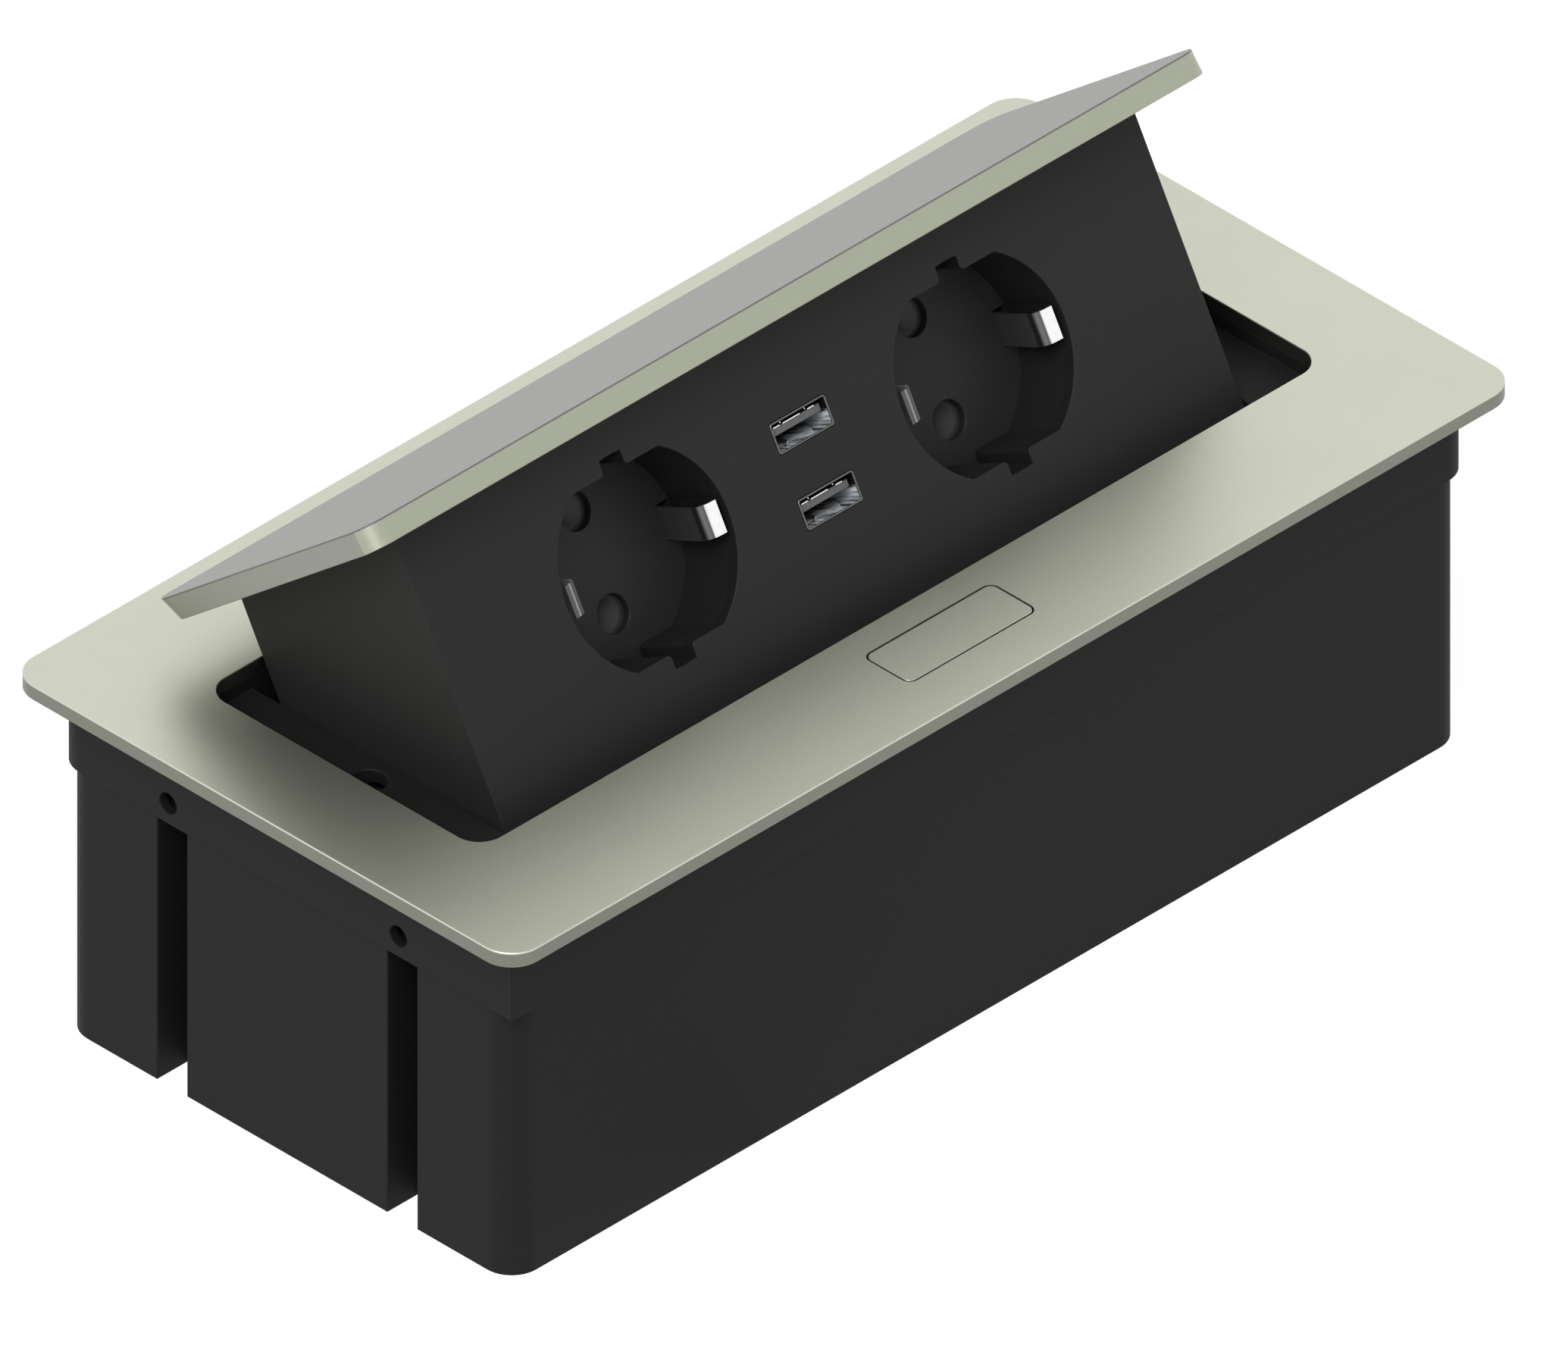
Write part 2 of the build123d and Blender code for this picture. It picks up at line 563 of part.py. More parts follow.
def tooth_profile(teeth):
    """Radius and half angle down one flank of a tooth, from tip to root."""
    pitch = TOOTH_MODULE * teeth / 2
    base = pitch * math.cos(math.radians(20))
    tip = pitch + 0.9 * TOOTH_MODULE
    root = pitch - 1.2 * TOOTH_MODULE
    foot = max(base, root)
    radii = [tip, (tip + pitch) / 2, (pitch + foot) / 2, foot]
    if foot > root:
        radii.append(root)
    return [(radius, tooth_half_angle(teeth, radius)) for radius in radii]


def toothed_window():
    """The window that a pinion rolls through. Its inner edge carries the teeth."""
    low = PINION_ANGLE - OPEN_ANGLE - WINDOW_MARGIN
    high = PINION_ANGLE + WINDOW_MARGIN
    step = 360 / QUADRANT_TEETH
    flank = tooth_profile(QUADRANT_TEETH)
    root = flank[-1][0]
    first = math.ceil((low - PINION_ANGLE) / step)
    last = math.floor((high - PINION_ANGLE) / step) - 1
    points = [polar(root, low)]
    for index in range(first, last + 1):
        centre = PINION_ANGLE + (index + 0.5) * step
        points += [polar(radius, centre - math.degrees(half)) for radius, half in reversed(flank)]
        points += [polar(radius, centre + math.degrees(half)) for radius, half in flank]
    points.append(polar(root, high))
    edges = Polyline(*points)
    edges += Line(polar(root, high), polar(WINDOW_OUTER, high))
    edges += ThreePointArc(
        polar(WINDOW_OUTER, high), polar(WINDOW_OUTER, (low + high) / 2), polar(WINDOW_OUTER, low)
    )
    edges += Line(polar(WINDOW_OUTER, low), polar(root, low))
    return make_face(edges)


def make_quadrant(side):
    """A steel plate under a ledge, with the slots that the module swings in."""
    outline = ring_sector(QUADRANT_INNER, QUADRANT_OUTER, QUADRANT_LOW_END, QUADRANT_HIGH_END)
    middle = (LEDGE_BOTTOM + QUADRANT_FOOT) / 2
    outline &= Pos(0, middle) * Rectangle(FRAME_DEPTH, LEDGE_BOTTOM - QUADRANT_FOOT)
    outline -= arc_slot(INNER_PIN_PATH, INNER_PIN_ANGLE)
    outline -= arc_slot(OUTER_PIN_PATH, OUTER_PIN_ANGLE)
    outline -= toothed_window()
    plate = extrude(Plane.YZ.offset(PLATE_INNER) * outline, QUADRANT_THICKNESS)
    flange = block(
        (PLATE_INNER, FLANGE_OUTER), QUADRANT_FLANGE_Y, (LEDGE_BOTTOM - QUADRANT_FLANGE, LEDGE_BOTTOM)
    )
    notch = block(
        (PLATE_INNER - 1, LEDGE_HOLE_X + NOTCH_HALF),
        (-NOTCH_HALF, NOTCH_HALF),
        (LEDGE_BOTTOM - QUADRANT_FLANGE, LEDGE_BOTTOM + 1),
    )
    quadrant = plate + flange - notch
    for x, y in QUADRANT_SCREW_SPOTS:
        hole = slab(Circle(SCREW_HOLE), LEDGE_BOTTOM - QUADRANT_FLANGE - 1, LEDGE_BOTTOM + 1)
        quadrant -= Pos(x, y, 0) * hole
    return quadrant if side > 0 else mirror(quadrant, Plane.YZ)


def make_quadrant_screws():
    tip = LEDGE_BOTTOM + QUADRANT_SCREW_GRIP - SCREW_CLEARANCE
    flange = LEDGE_BOTTOM - QUADRANT_FLANGE
    return [
        screw(side * x, y, flange - FRAME_SCREW_HEAD, flange, tip)
        for side in (-1, 1)
        for x, y in QUADRANT_SCREW_SPOTS
    ]


# Button with its hook, and the leaf spring below it


def make_button():
    """The flush push button, its stop flange and the stem that carries the hook."""
    cap = slab(
        RectangleRounded(BUTTON_LENGTH, BUTTON_DEPTH, BUTTON_CORNER), FRAME_TOP - BUTTON_CAP_HEIGHT, FRAME_TOP
    )
    flange = slab(
        RectangleRounded(BUTTON_LENGTH + 2 * BUTTON_FLANGE, BUTTON_DEPTH + 2 * BUTTON_FLANGE, BUTTON_CORNER),
        COLLAR_RECESS - BUTTON_FLANGE_THICKNESS,
        COLLAR_RECESS,
    )
    stem = slab(Rectangle(STEM_LENGTH, STEM_DEPTH), STEM_BOTTOM, 0)
    return Pos(0, BUTTON_Y, 0) * (cap + flange + stem)


def make_latch_hook():
    """A bent steel strip: down from the stem, back along the floor and up at its tip."""
    foot_bottom = STRIKE_BOTTOM - STEM_CLEARANCE - LATCH_STRIP
    foot_top = foot_bottom + LATCH_STRIP
    tip_back = STRIKE_Y - LATCH_GAP
    tip_front = tip_back - LATCH_STRIP
    tip_top = STRIKE_BOTTOM + LATCH_ENGAGEMENT
    points = [
        (LATCH_FACE, POCKET_BOTTOM - POCKET_WALL - BUTTON_TRAVEL - STEM_CLEARANCE),
        (LATCH_FACE + LATCH_STRIP, POCKET_BOTTOM - POCKET_WALL - BUTTON_TRAVEL - STEM_CLEARANCE),
        (LATCH_FACE + LATCH_STRIP, foot_top),
        (tip_front, foot_top),
        (tip_front, tip_top - LATCH_STRIP / 2),
        (tip_back, tip_top),
        (tip_back, foot_bottom),
        (LATCH_FACE, foot_bottom),
    ]
    return upright(points, -LATCH_WIDTH / 2, LATCH_WIDTH / 2)


def make_button_spring():
    """An arched leaf spring between the pocket floor and the button."""
    top = FRAME_TOP - BUTTON_CAP_HEIGHT
    outer = ThreePointArc((-SPRING_HALF_SPAN, POCKET_BOTTOM), (0, top), (SPRING_HALF_SPAN, POCKET_BOTTOM))
    inner_span = SPRING_HALF_SPAN - SPRING_STRIP
    inner = ThreePointArc((inner_span, POCKET_BOTTOM), (0, top - SPRING_STRIP), (-inner_span, POCKET_BOTTOM))
    edges = outer + Line((SPRING_HALF_SPAN, POCKET_BOTTOM), (inner_span, POCKET_BOTTOM))
    edges += inner + Line((-inner_span, POCKET_BOTTOM), (-SPRING_HALF_SPAN, POCKET_BOTTOM))
    low, high = SPRING_Y
    return extrude(Plane.XZ.offset(-high) * make_face(edges), high - low)


# Flip-up module


def make_lid():
    """The lid plate. Its back edge leans in, round the corners too, to clear the opening."""
    lid = slab(RectangleRounded(LID_LENGTH, LID_DEPTH, LID_CORNER), LID_UNDERSIDE, FRAME_TOP)
    leaning = RectangleRounded(LID_LENGTH, LID_DEPTH + 2 * LID_BEVEL, LID_CORNER)
    run = math.hypot(LID_BEVEL, LID_THICKNESS)
    lean = extrude(Pos(0, -2 * LID_BEVEL, LID_UNDERSIDE) * leaning, run, dir=(0, LID_BEVEL, LID_THICKNESS))
    lid &= lean
    for x, y in LID_SCREW_SPOTS:
        hole = slab(Circle(SCREW_HOLE), LID_UNDERSIDE - 1, LID_UNDERSIDE + LID_SCREW_DEPTH)
        lid -= Pos(x, y, 0) * hole
    return open_pose(lid)


def module_profile(front=0.0, back=0.0, top=0.0, bottom=0.0):
    """The leaning side view of the closed module, drawn in by a wall on each side."""
    high = LID_UNDERSIDE - top
    low = MODULE_BOTTOM + bottom

    def edge(z, at):
        return at + (LID_UNDERSIDE - z) * math.tan(TILT)

    near = FRONT_Y + front / math.cos(TILT)
    far = FRONT_Y + MODULE_DEPTH - back / math.cos(TILT)
    return [(edge(high, near), high), (edge(high, far), high), (edge(low, far), low), (edge(low, near), low)]


def well_outline():
    """A round plug well with a flat above and below, each split by a narrow notch."""
    well = Circle(WELL_RADIUS) & Rectangle(3 * WELL_RADIUS, 2 * WELL_FLAT)
    well += Circle(WELL_NOTCH_DEPTH) & Rectangle(WELL_NOTCH_WIDTH, 3 * WELL_RADIUS)
    corners = [
        point for point in well.vertices()
        if abs(abs(point.X) - WELL_NOTCH_WIDTH / 2) < 0.01 and abs(abs(point.Y) - WELL_FLAT) < 0.01
    ]
    return fillet(corners, WELL_LUG_RADIUS)


def port_outline(gap):
    return RectangleRounded(PORT_WIDTH + 2 * gap, PORT_HEIGHT + 2 * gap, PORT_CORNER + gap)


def guide_spot(radius, open_angle):
    """Where a piece that rides at this angle when open stands on the closed module."""
    return polar(radius, open_angle - OPEN_ANGLE)


def make_module_shell():
    """The moulded front, top, bottom and ends of the module, open at the back."""
    half = MODULE_LENGTH / 2
    shell = upright(module_profile(), -half, half)
    inner = module_profile(front=SHELL_WALL, back=-1.0, top=SHELL_WALL, bottom=SHELL_WALL)
    shell -= upright(inner, -half + SHELL_WALL, half - SHELL_WALL)
    back = -FACE_THICKNESS + SHELL_WALL
    for x, y in COVER_SCREW_SPOTS:
        boss = Pos(x, y, 0) * slab(Rectangle(BOSS, BOSS), back, back + BOSS_DEPTH)
        boss -= Pos(x, y, 0) * slab(Circle(SCREW_HOLE), back - 1, back + COVER_GRIP)
        shell += FACE_PLANE * boss
    for x in SOCKET_SPOTS.values():
        shell -= FACE_PLANE * Pos(x, -SOCKET_DROP, 0) * slab(well_outline(), -SHELL_WALL - 0.5, 1)
    for x, y in PORT_SPOTS:
        shell -= FACE_PLANE * Pos(x, y, 0) * slab(port_outline(PORT_CLEARANCE), -SHELL_WALL - 0.5, 1)
    for x, y in LID_SCREW_SPOTS:
        hole = slab(Circle(SCREW_HOLE), LID_UNDERSIDE - SHELL_WALL - 1, LID_UNDERSIDE + 1)
        shell -= Pos(x, y, 0) * hole
    for radius, angle in ((INNER_PIN_PATH, INNER_PIN_ANGLE), (OUTER_PIN_PATH, OUTER_PIN_ANGLE)):
        y, z = guide_spot(radius, angle)
        shell -= rod(y, z, PIN_SHANK + SHAFT_CLEARANCE, -half - 1, -half + SHELL_WALL + 1)
        shell -= rod(y, z, PIN_SHANK + SHAFT_CLEARANCE, half - SHELL_WALL - 1, half + 1)
    y, z = guide_spot(PINION_PATH, PINION_ANGLE)
    shell -= rod(y, z, SHAFT_RADIUS + SIDE_CLEARANCE, -half - 1, -half + SHELL_WALL + 1)
    shell -= rod(y, z, SHAFT_RADIUS + SIDE_CLEARANCE, half - SHELL_WALL - 1, half + 1)
    for x in STRIKE_SCREW_X:
        hole = slab(Circle(SCREW_HOLE), MODULE_BOTTOM - 1, MODULE_BOTTOM + SHELL_WALL + 1)
        shell -= Pos(x, STRIKE_SCREW_Y, 0) * hole
    return open_pose(shell)


def make_rear_cover():
    """The moulded back plate, let into the open back of the shell."""
    half = MODULE_LENGTH / 2 - SHELL_WALL - COVER_GAP
    cover = upright(
        module_profile(
            front=FACE_THICKNESS - SHELL_WALL,
            top=SHELL_WALL + COVER_GAP,
            bottom=SHELL_WALL + COVER_GAP,
        ),
        -half,
        half,
    )
    for x, y in COVER_SCREW_SPOTS:
        hole = slab(Circle(SCREW_HOLE), -FACE_THICKNESS - 1, -FACE_THICKNESS + SHELL_WALL + 1)
        recess = slab(Circle(COVER_HEAD_RADIUS), -FACE_THICKNESS - 1, -FACE_THICKNESS + FRAME_SCREW_HEAD)
        cover -= FACE_PLANE * Pos(x, y, 0) * (hole + recess)
    return open_pose(cover)


def make_cover_screws():
    head_low = -FACE_THICKNESS + SCREW_CLEARANCE
    head_top = -FACE_THICKNESS + FRAME_SCREW_HEAD
    tip = -FACE_THICKNESS + SHELL_WALL + COVER_GRIP - SCREW_CLEARANCE
    return [on_face(screw(x, y, head_low, head_top, tip)) for x, y in COVER_SCREW_SPOTS]


def make_lid_screws():
    top = LID_UNDERSIDE - SHELL_WALL
    tip = LID_UNDERSIDE + LID_SCREW_DEPTH - SCREW_CLEARANCE
    return [open_pose(screw(x, y, top - FRAME_SCREW_HEAD, top, tip)) for x, y in LID_SCREW_SPOTS]


def make_strike_plate():
    """A bent tab under the module that the hook holds."""
    low = MODULE_BOTTOM - STRIKE_SHEET
    points = [
        (STRIKE_Y, MODULE_BOTTOM),
        (STRIKE_SCREW_Y + 4, MODULE_BOTTOM),
        (STRIKE_SCREW_Y + 4, low),
        (STRIKE_Y + STRIKE_SHEET, low),
        (STRIKE_Y + STRIKE_SHEET, STRIKE_BOTTOM),
        (STRIKE_Y, STRIKE_BOTTOM),
    ]
    strike = upright(points, -STRIKE_HALF_WIDTH, STRIKE_HALF_WIDTH)
    for x in STRIKE_SCREW_X:
        strike -= Pos(x, STRIKE_SCREW_Y, 0) * slab(Circle(SCREW_HOLE), low - 1, MODULE_BOTTOM + 1)
    return open_pose(strike)


def make_strike_screws():
    low = MODULE_BOTTOM - STRIKE_SHEET
    tip = MODULE_BOTTOM + SHELL_WALL
    return [
        open_pose(screw(x, STRIKE_SCREW_Y, low - FRAME_SCREW_HEAD, low, tip)) for x in STRIKE_SCREW_X
    ]


def make_guide_pins():
    """Shouldered steel pins. Two on each end of the module ride in the arc slots."""
    end = MODULE_LENGTH / 2
    steps = [
        (PIN_SHANK, end - SHELL_WALL, end),
        (PIN_COLLAR, end, PLATE_INNER - SIDE_CLEARANCE),
        (PIN_RADIUS, PLATE_INNER - SIDE_CLEARANCE, PLATE_OUTER + SIDE_CLEARANCE),
        (PIN_COLLAR, PLATE_OUTER + SIDE_CLEARANCE, PLATE_OUTER + SIDE_CLEARANCE + PIN_HEAD_DEPTH),
    ]
    pins = []
    for radius, angle in ((INNER_PIN_PATH, INNER_PIN_ANGLE), (OUTER_PIN_PATH, OUTER_PIN_ANGLE)):
        y, z = guide_spot(radius, angle)
        pin = None
        for step_radius, low, high in steps:
            part = rod(y, z, step_radius, low, high)
            pin = part if pin is None else pin + part
        pins += [open_pose(pin), open_pose(mirror(pin, Plane.YZ))]
    return pins


def make_case(side):
    """The round case of the damper or of the lifting spring, inside a module end."""
    end = MODULE_LENGTH / 2 - SHELL_WALL
    y, z = guide_spot(PINION_PATH, PINION_ANGLE)
    case = rod(y, z, CASE_RADIUS, end - CASE_DEPTH, end)
    front = y - CASE_RADIUS - CASE_WING
    back = y + CASE_RADIUS
    wing = [(front, z - CASE_WING), (back, z - CASE_WING), (back, z + CASE_WING), (front, z + CASE_WING)]
    case += upright(wing, end - CASE_WING / 2, end)
    case -= rod(y, z, SHAFT_RADIUS + SHAFT_CLEARANCE, end - CASE_DEPTH + 2, end + 1)
    return open_pose(case if side > 0 else mirror(case, Plane.YZ))


def make_pinion(side):
    """A small gear on its shaft. It rolls on the toothed arc as the module swings."""
    y, z = polar(PINION_PATH, PINION_ANGLE)
    towards_pivot = math.atan2(PIVOT_Z - z, PIVOT_Y - y)
    points = []
    for index in range(PINION_TEETH):
        centre = towards_pivot + index * 2 * math.pi / PINION_TEETH
        flank = tooth_profile(PINION_TEETH)
        for radius, half in reversed(flank):
            points.append((y + radius * math.cos(centre - half), z + radius * math.sin(centre - half)))
        for radius, half in flank:
            points.append((y + radius * math.cos(centre + half), z + radius * math.sin(centre + half)))
    end = MODULE_LENGTH / 2
    pinion = upright(points, PLATE_INNER + 0.1, PLATE_OUTER - 0.1)
    pinion += rod(y, z, SHAFT_RADIUS + 1.2, end + SIDE_CLEARANCE, PLATE_INNER + 0.1)
    pinion += rod(y, z, SHAFT_RADIUS, end - SHELL_WALL - CASE_DEPTH + 3, end + SIDE_CLEARANCE)
    return pinion if side > 0 else mirror(pinion, Plane.YZ)


# Sockets, drawn on the sloping face with depth below it


def clip_slots():
    """The slots beside the well that the earth clips stand in, with room to spring outwards."""
    low = CLIP_FLOOR_X - CLIP_THICKNESS / 2 - CLIP_CLEARANCE
    high = CLIP_FLOOR_X + CLIP_SLOT_BACK
    slot = Rectangle(high - low, CLIP_WIDTH + 2 * CLIP_CLEARANCE)
    return [Pos(sx * (low + high) / 2, 0, 0) * slot for sx in (-1, 1)]


def make_socket(x):
    """The moulded cup behind the face, with its floor and pin holes."""
    cup = slab(Rectangle(INSERT_WIDTH, INSERT_HEIGHT), BACK_FRONT, -SHELL_WALL)
    cup -= slab(well_outline(), -WELL_DEPTH, 1)
    for sy in (-1, 1):
        cup -= Pos(0, sy * PIN_SPACING / 2, 0) * slab(Circle(PIN_HOLE_RADIUS), BACK_FRONT - 1, 0)
    for slot in clip_slots():
        cup -= slab(slot, BACK_FRONT - 1, 0)
    return on_face(Pos(x, -SOCKET_DROP, 0) * cup)


def make_socket_back(x):
    """The block behind the cup. It holds the contacts, and the shutter slides in its front."""
    back = slab(Rectangle(BACK_WIDTH, BACK_HEIGHT), BACK_REAR, BACK_FRONT)
    low = -SHUTTER_EDGE - SHUTTER_TRAVEL - SHUTTER_CLEARANCE
    high = SHUTTER_WIDTH - SHUTTER_EDGE + SHUTTER_CLEARANCE
    pocket_half = SHUTTER_HEIGHT / 2 + SHUTTER_CLEARANCE
    back -= block((low, high), (-pocket_half, pocket_half), (BACK_FRONT - POCKET_DEPTH, BACK_FRONT + 1))
    for sy in (-1, 1):
        hole = slab(Circle(CONTACT_RADIUS), BACK_REAR - 1, BACK_FRONT)
        back -= Pos(0, sy * PIN_SPACING / 2, 0) * hole
    for slot in clip_slots():
        back -= slab(slot, BACK_REAR - 1, BACK_FRONT + 1)
    return on_face(Pos(x, -SOCKET_DROP, 0) * back)


def make_shutter(x):
    """A sliding plate that covers both pin holes, with its own two holes beside them."""
    top = BACK_FRONT - SHUTTER_CLEARANCE
    half = SHUTTER_HEIGHT / 2
    bottom = top - SHUTTER_THICKNESS
    plate = block((-SHUTTER_EDGE, SHUTTER_WIDTH - SHUTTER_EDGE), (-half, half), (bottom, top))
    dish_radius = (DISH_MOUTH**2 + SHUTTER_DISH**2) / (2 * SHUTTER_DISH)
    for sy in (-1, 1):
        y = sy * PIN_SPACING / 2
        hole = slab(Circle(PIN_HOLE_RADIUS), bottom - 1, top + 1)
        plate -= Pos(SHUTTER_TRAVEL, y, 0) * hole
        plate -= Pos(0, y, top - SHUTTER_DISH + dish_radius) * Sphere(dish_radius)
    return on_face(Pos(x, -SOCKET_DROP, 0) * plate)


def make_pin_contacts(x):
    """Slit brass sleeves that grip the plug pins."""
    sleeves = []
    high = BACK_FRONT - POCKET_DEPTH
    for sy in (-1, 1):
        sleeve = slab(Circle(CONTACT_RADIUS) - Circle(CONTACT_BORE), BACK_REAR, high)
        sleeve -= slab(Rectangle(3 * CONTACT_RADIUS, CONTACT_SLIT), BACK_REAR + 4, high + 1)
        sleeves.append(on_face(Pos(x, -SOCKET_DROP + sy * PIN_SPACING / 2, 0) * sleeve))
    return sleeves


def make_earth_clips(x):
    """One bent strip: a sprung contact up each side of the well, joined behind the block."""
    tail = BACK_REAR - CLIP_THICKNESS
    half = CLIP_THICKNESS / 2
    outer = [(px + half, pz) for px, pz in CLIP_PATH] + [(CLIP_FLOOR_X + half, tail)]
    inner = [(px - half, pz) for px, pz in CLIP_PATH] + [(CLIP_FLOOR_X - half, BACK_REAR)]
    points = outer + [(-px, pz) for px, pz in reversed(outer)]
    points += [(-px, pz) for px, pz in inner] + list(reversed(inner))
    outline = make_face(Polyline(*points, close=True))
    strip = extrude(Plane.XZ.offset(-CLIP_WIDTH / 2) * outline, CLIP_WIDTH)
    return on_face(Pos(x, -SOCKET_DROP, 0) * strip)


def make_bus_bars():
    """Two copper bars join the pin contacts, and a third joins the earth strips."""
    half = SOCKET_SPACING / 2 + PIN_HOLE_RADIUS
    bars = []
    for y in (-PIN_SPACING / 2, PIN_SPACING / 2):
        bars.append(
            block(
                (-half, half),
                (-SOCKET_DROP + y - BAR_WIDTH / 2, -SOCKET_DROP + y + BAR_WIDTH / 2),
                (BACK_REAR - BAR_THICKNESS, BACK_REAR),
            )
        )
    earth_top = BACK_REAR - CLIP_THICKNESS
    bars.append(
        block(
            (-half, half),
            (-SOCKET_DROP - BAR_WIDTH / 2, -SOCKET_DROP + BAR_WIDTH / 2),
            (earth_top - BAR_THICKNESS, earth_top),
        )
    )
    return [on_face(bar) for bar in bars]


def make_terminal_block():
    """The block under the bars where the supply wires are clamped."""
    top = BACK_REAR - CLIP_THICKNESS - BAR_THICKNESS
    body = slab(Rectangle(TERMINAL_LENGTH, TERMINAL_HEIGHT), top - TERMINAL_DEPTH, top)
    rear = top - TERMINAL_DEPTH
    half = WIRE_ENTRY / 2
    for y in (-PIN_SPACING / 2, 0, PIN_SPACING / 2):
        body -= block(
            (-TERMINAL_LENGTH, WIRE_ENTRY_DEPTH - TERMINAL_LENGTH / 2),
            (y - half, y + half),
            (rear + half, rear + half + WIRE_ENTRY),
        )
        clamp = slab(Circle(CLAMP_HOLE), rear - 1, rear + WIRE_ENTRY)
        body -= Pos((WIRE_ENTRY_DEPTH - TERMINAL_LENGTH) / 2, y, 0) * clamp
    return on_face(Pos(0, -SOCKET_DROP, 0) * body)


def make_port_shells():
    """Folded steel sleeves of the charging ports, flush with the face."""
    shells = []
    for x, y in PORT_SPOTS:
        sleeve = slab(port_outline(0), -PORT_DEPTH, 0) - slab(port_outline(-PORT_SHEET), -PORT_DEPTH - 1, 1)
        shells.append(on_face(Pos(x, y, 0) * sleeve))
    return shells


def make_port_tongues():
    """Insulating tongues with the block that closes the back of each sleeve."""
    tongues = []
    for x, y in PORT_SPOTS:
        base = slab(port_outline(-PORT_SHEET - PORT_FIT), -PORT_DEPTH, -PORT_DEPTH + PORT_BASE)
        tongue = block(
            (-TONGUE_WIDTH / 2, TONGUE_WIDTH / 2),
            (TONGUE_RISE - TONGUE_THICKNESS / 2, TONGUE_RISE + TONGUE_THICKNESS / 2),
            (-PORT_DEPTH + PORT_BASE, -TONGUE_SETBACK),
        )
        tongues.append(on_face(Pos(x, y, 0) * (base + tongue)))
    return tongues


def make_charger_board():
    """The charging circuit behind the ports, with its larger components."""
    top = -PORT_DEPTH
    bottom = top - BOARD_THICKNESS
    board = slab(Rectangle(BOARD_WIDTH, BOARD_HEIGHT), bottom, top)
    column = BOARD_WIDTH / 4
    row = BOARD_HEIGHT / 4
    coil = slab(RectangleRounded(COIL_SIZE, COIL_SIZE, COIL_SIZE / 6), bottom - COIL_HEIGHT, bottom)
    chip = slab(Rectangle(CHIP_SIZE, CHIP_SIZE), bottom - CHIP_HEIGHT, bottom)
    parts = [board, Pos(-column, row, 0) * coil, Pos(column, row, 0) * chip]
    capacitor = slab(Circle(CAPACITOR_RADIUS), bottom - CAPACITOR_HEIGHT, bottom)
    for x in (-column, column):
        parts.append(Pos(x, -row, 0) * capacitor)
    return [on_face(Pos(0, -SOCKET_DROP, 0) * piece) for piece in parts]


NODES = {
    "top_frame": make_top_frame,
    "collar": make_collar,
    "tub": make_tub,
    "frame_screws": make_frame_screws,
    "housing_screws": make_housing_screws,
    "gland_plate": make_gland_plate,
    "cable_gland": make_cable_gland,
    "guide_quadrant_left": lambda: make_quadrant(-1),
    "guide_quadrant_right": lambda: make_quadrant(1),
    "quadrant_screws": make_quadrant_screws,
    "button": make_button,
    "latch_hook": make_latch_hook,
    "button_spring": make_button_spring,
    "lid": make_lid,
    "module_shell": make_module_shell,
    "rear_cover": make_rear_cover,
    "cover_screws": make_cover_screws,
    "lid_screws": make_lid_screws,
    "strike_plate": make_strike_plate,
    "strike_screws": make_strike_screws,
    "guide_pins": make_guide_pins,
    "damper_case": lambda: make_case(-1),
    "lift_spring_case": lambda: make_case(1),
    "damper_pinion": lambda: make_pinion(-1),
    "spring_pinion": lambda: make_pinion(1),
    "bus_bars": make_bus_bars,
    "terminal_block": make_terminal_block,
    "port_shells": make_port_shells,
    "port_tongues": make_port_tongues,
    "charger_board": make_charger_board,
}
for name, x in SOCKET_SPOTS.items():
    NODES[f"socket_{name}"] = lambda x=x: make_socket(x)
    NODES[f"socket_back_{name}"] = lambda x=x: make_socket_back(x)
    NODES[f"shutter_{name}"] = lambda x=x: make_shutter(x)
    NODES[f"pin_contacts_{name}"] = lambda x=x: make_pin_contacts(x)
    NODES[f"earth_clips_{name}"] = lambda x=x: make_earth_clips(x)

os.makedirs("parts", exist_ok=True)
for node, make in NODES.items():
    save(make(), node)
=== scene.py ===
import math

import bmesh
import bpy
from mathutils import Matrix, Vector


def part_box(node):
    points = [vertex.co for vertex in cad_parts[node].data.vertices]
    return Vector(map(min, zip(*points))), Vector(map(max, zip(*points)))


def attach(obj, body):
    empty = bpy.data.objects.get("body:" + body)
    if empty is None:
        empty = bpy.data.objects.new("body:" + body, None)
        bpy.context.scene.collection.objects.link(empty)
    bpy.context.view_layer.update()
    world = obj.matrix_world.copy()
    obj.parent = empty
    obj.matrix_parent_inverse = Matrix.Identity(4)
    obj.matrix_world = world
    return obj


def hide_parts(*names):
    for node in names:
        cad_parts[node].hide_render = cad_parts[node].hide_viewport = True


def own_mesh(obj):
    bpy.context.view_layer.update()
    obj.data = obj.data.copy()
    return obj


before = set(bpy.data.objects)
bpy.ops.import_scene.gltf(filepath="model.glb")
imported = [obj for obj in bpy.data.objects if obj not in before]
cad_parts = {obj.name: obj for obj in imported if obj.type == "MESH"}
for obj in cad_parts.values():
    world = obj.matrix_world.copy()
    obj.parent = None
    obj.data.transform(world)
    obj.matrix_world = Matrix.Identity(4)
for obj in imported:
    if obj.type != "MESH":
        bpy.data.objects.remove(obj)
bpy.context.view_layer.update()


# Flange plate. A 3 mm aluminium plate, blasted and anodised to a pale champagne grey. It
# rests on the desk and carries everything below it; its side faces get a darker painted shade.

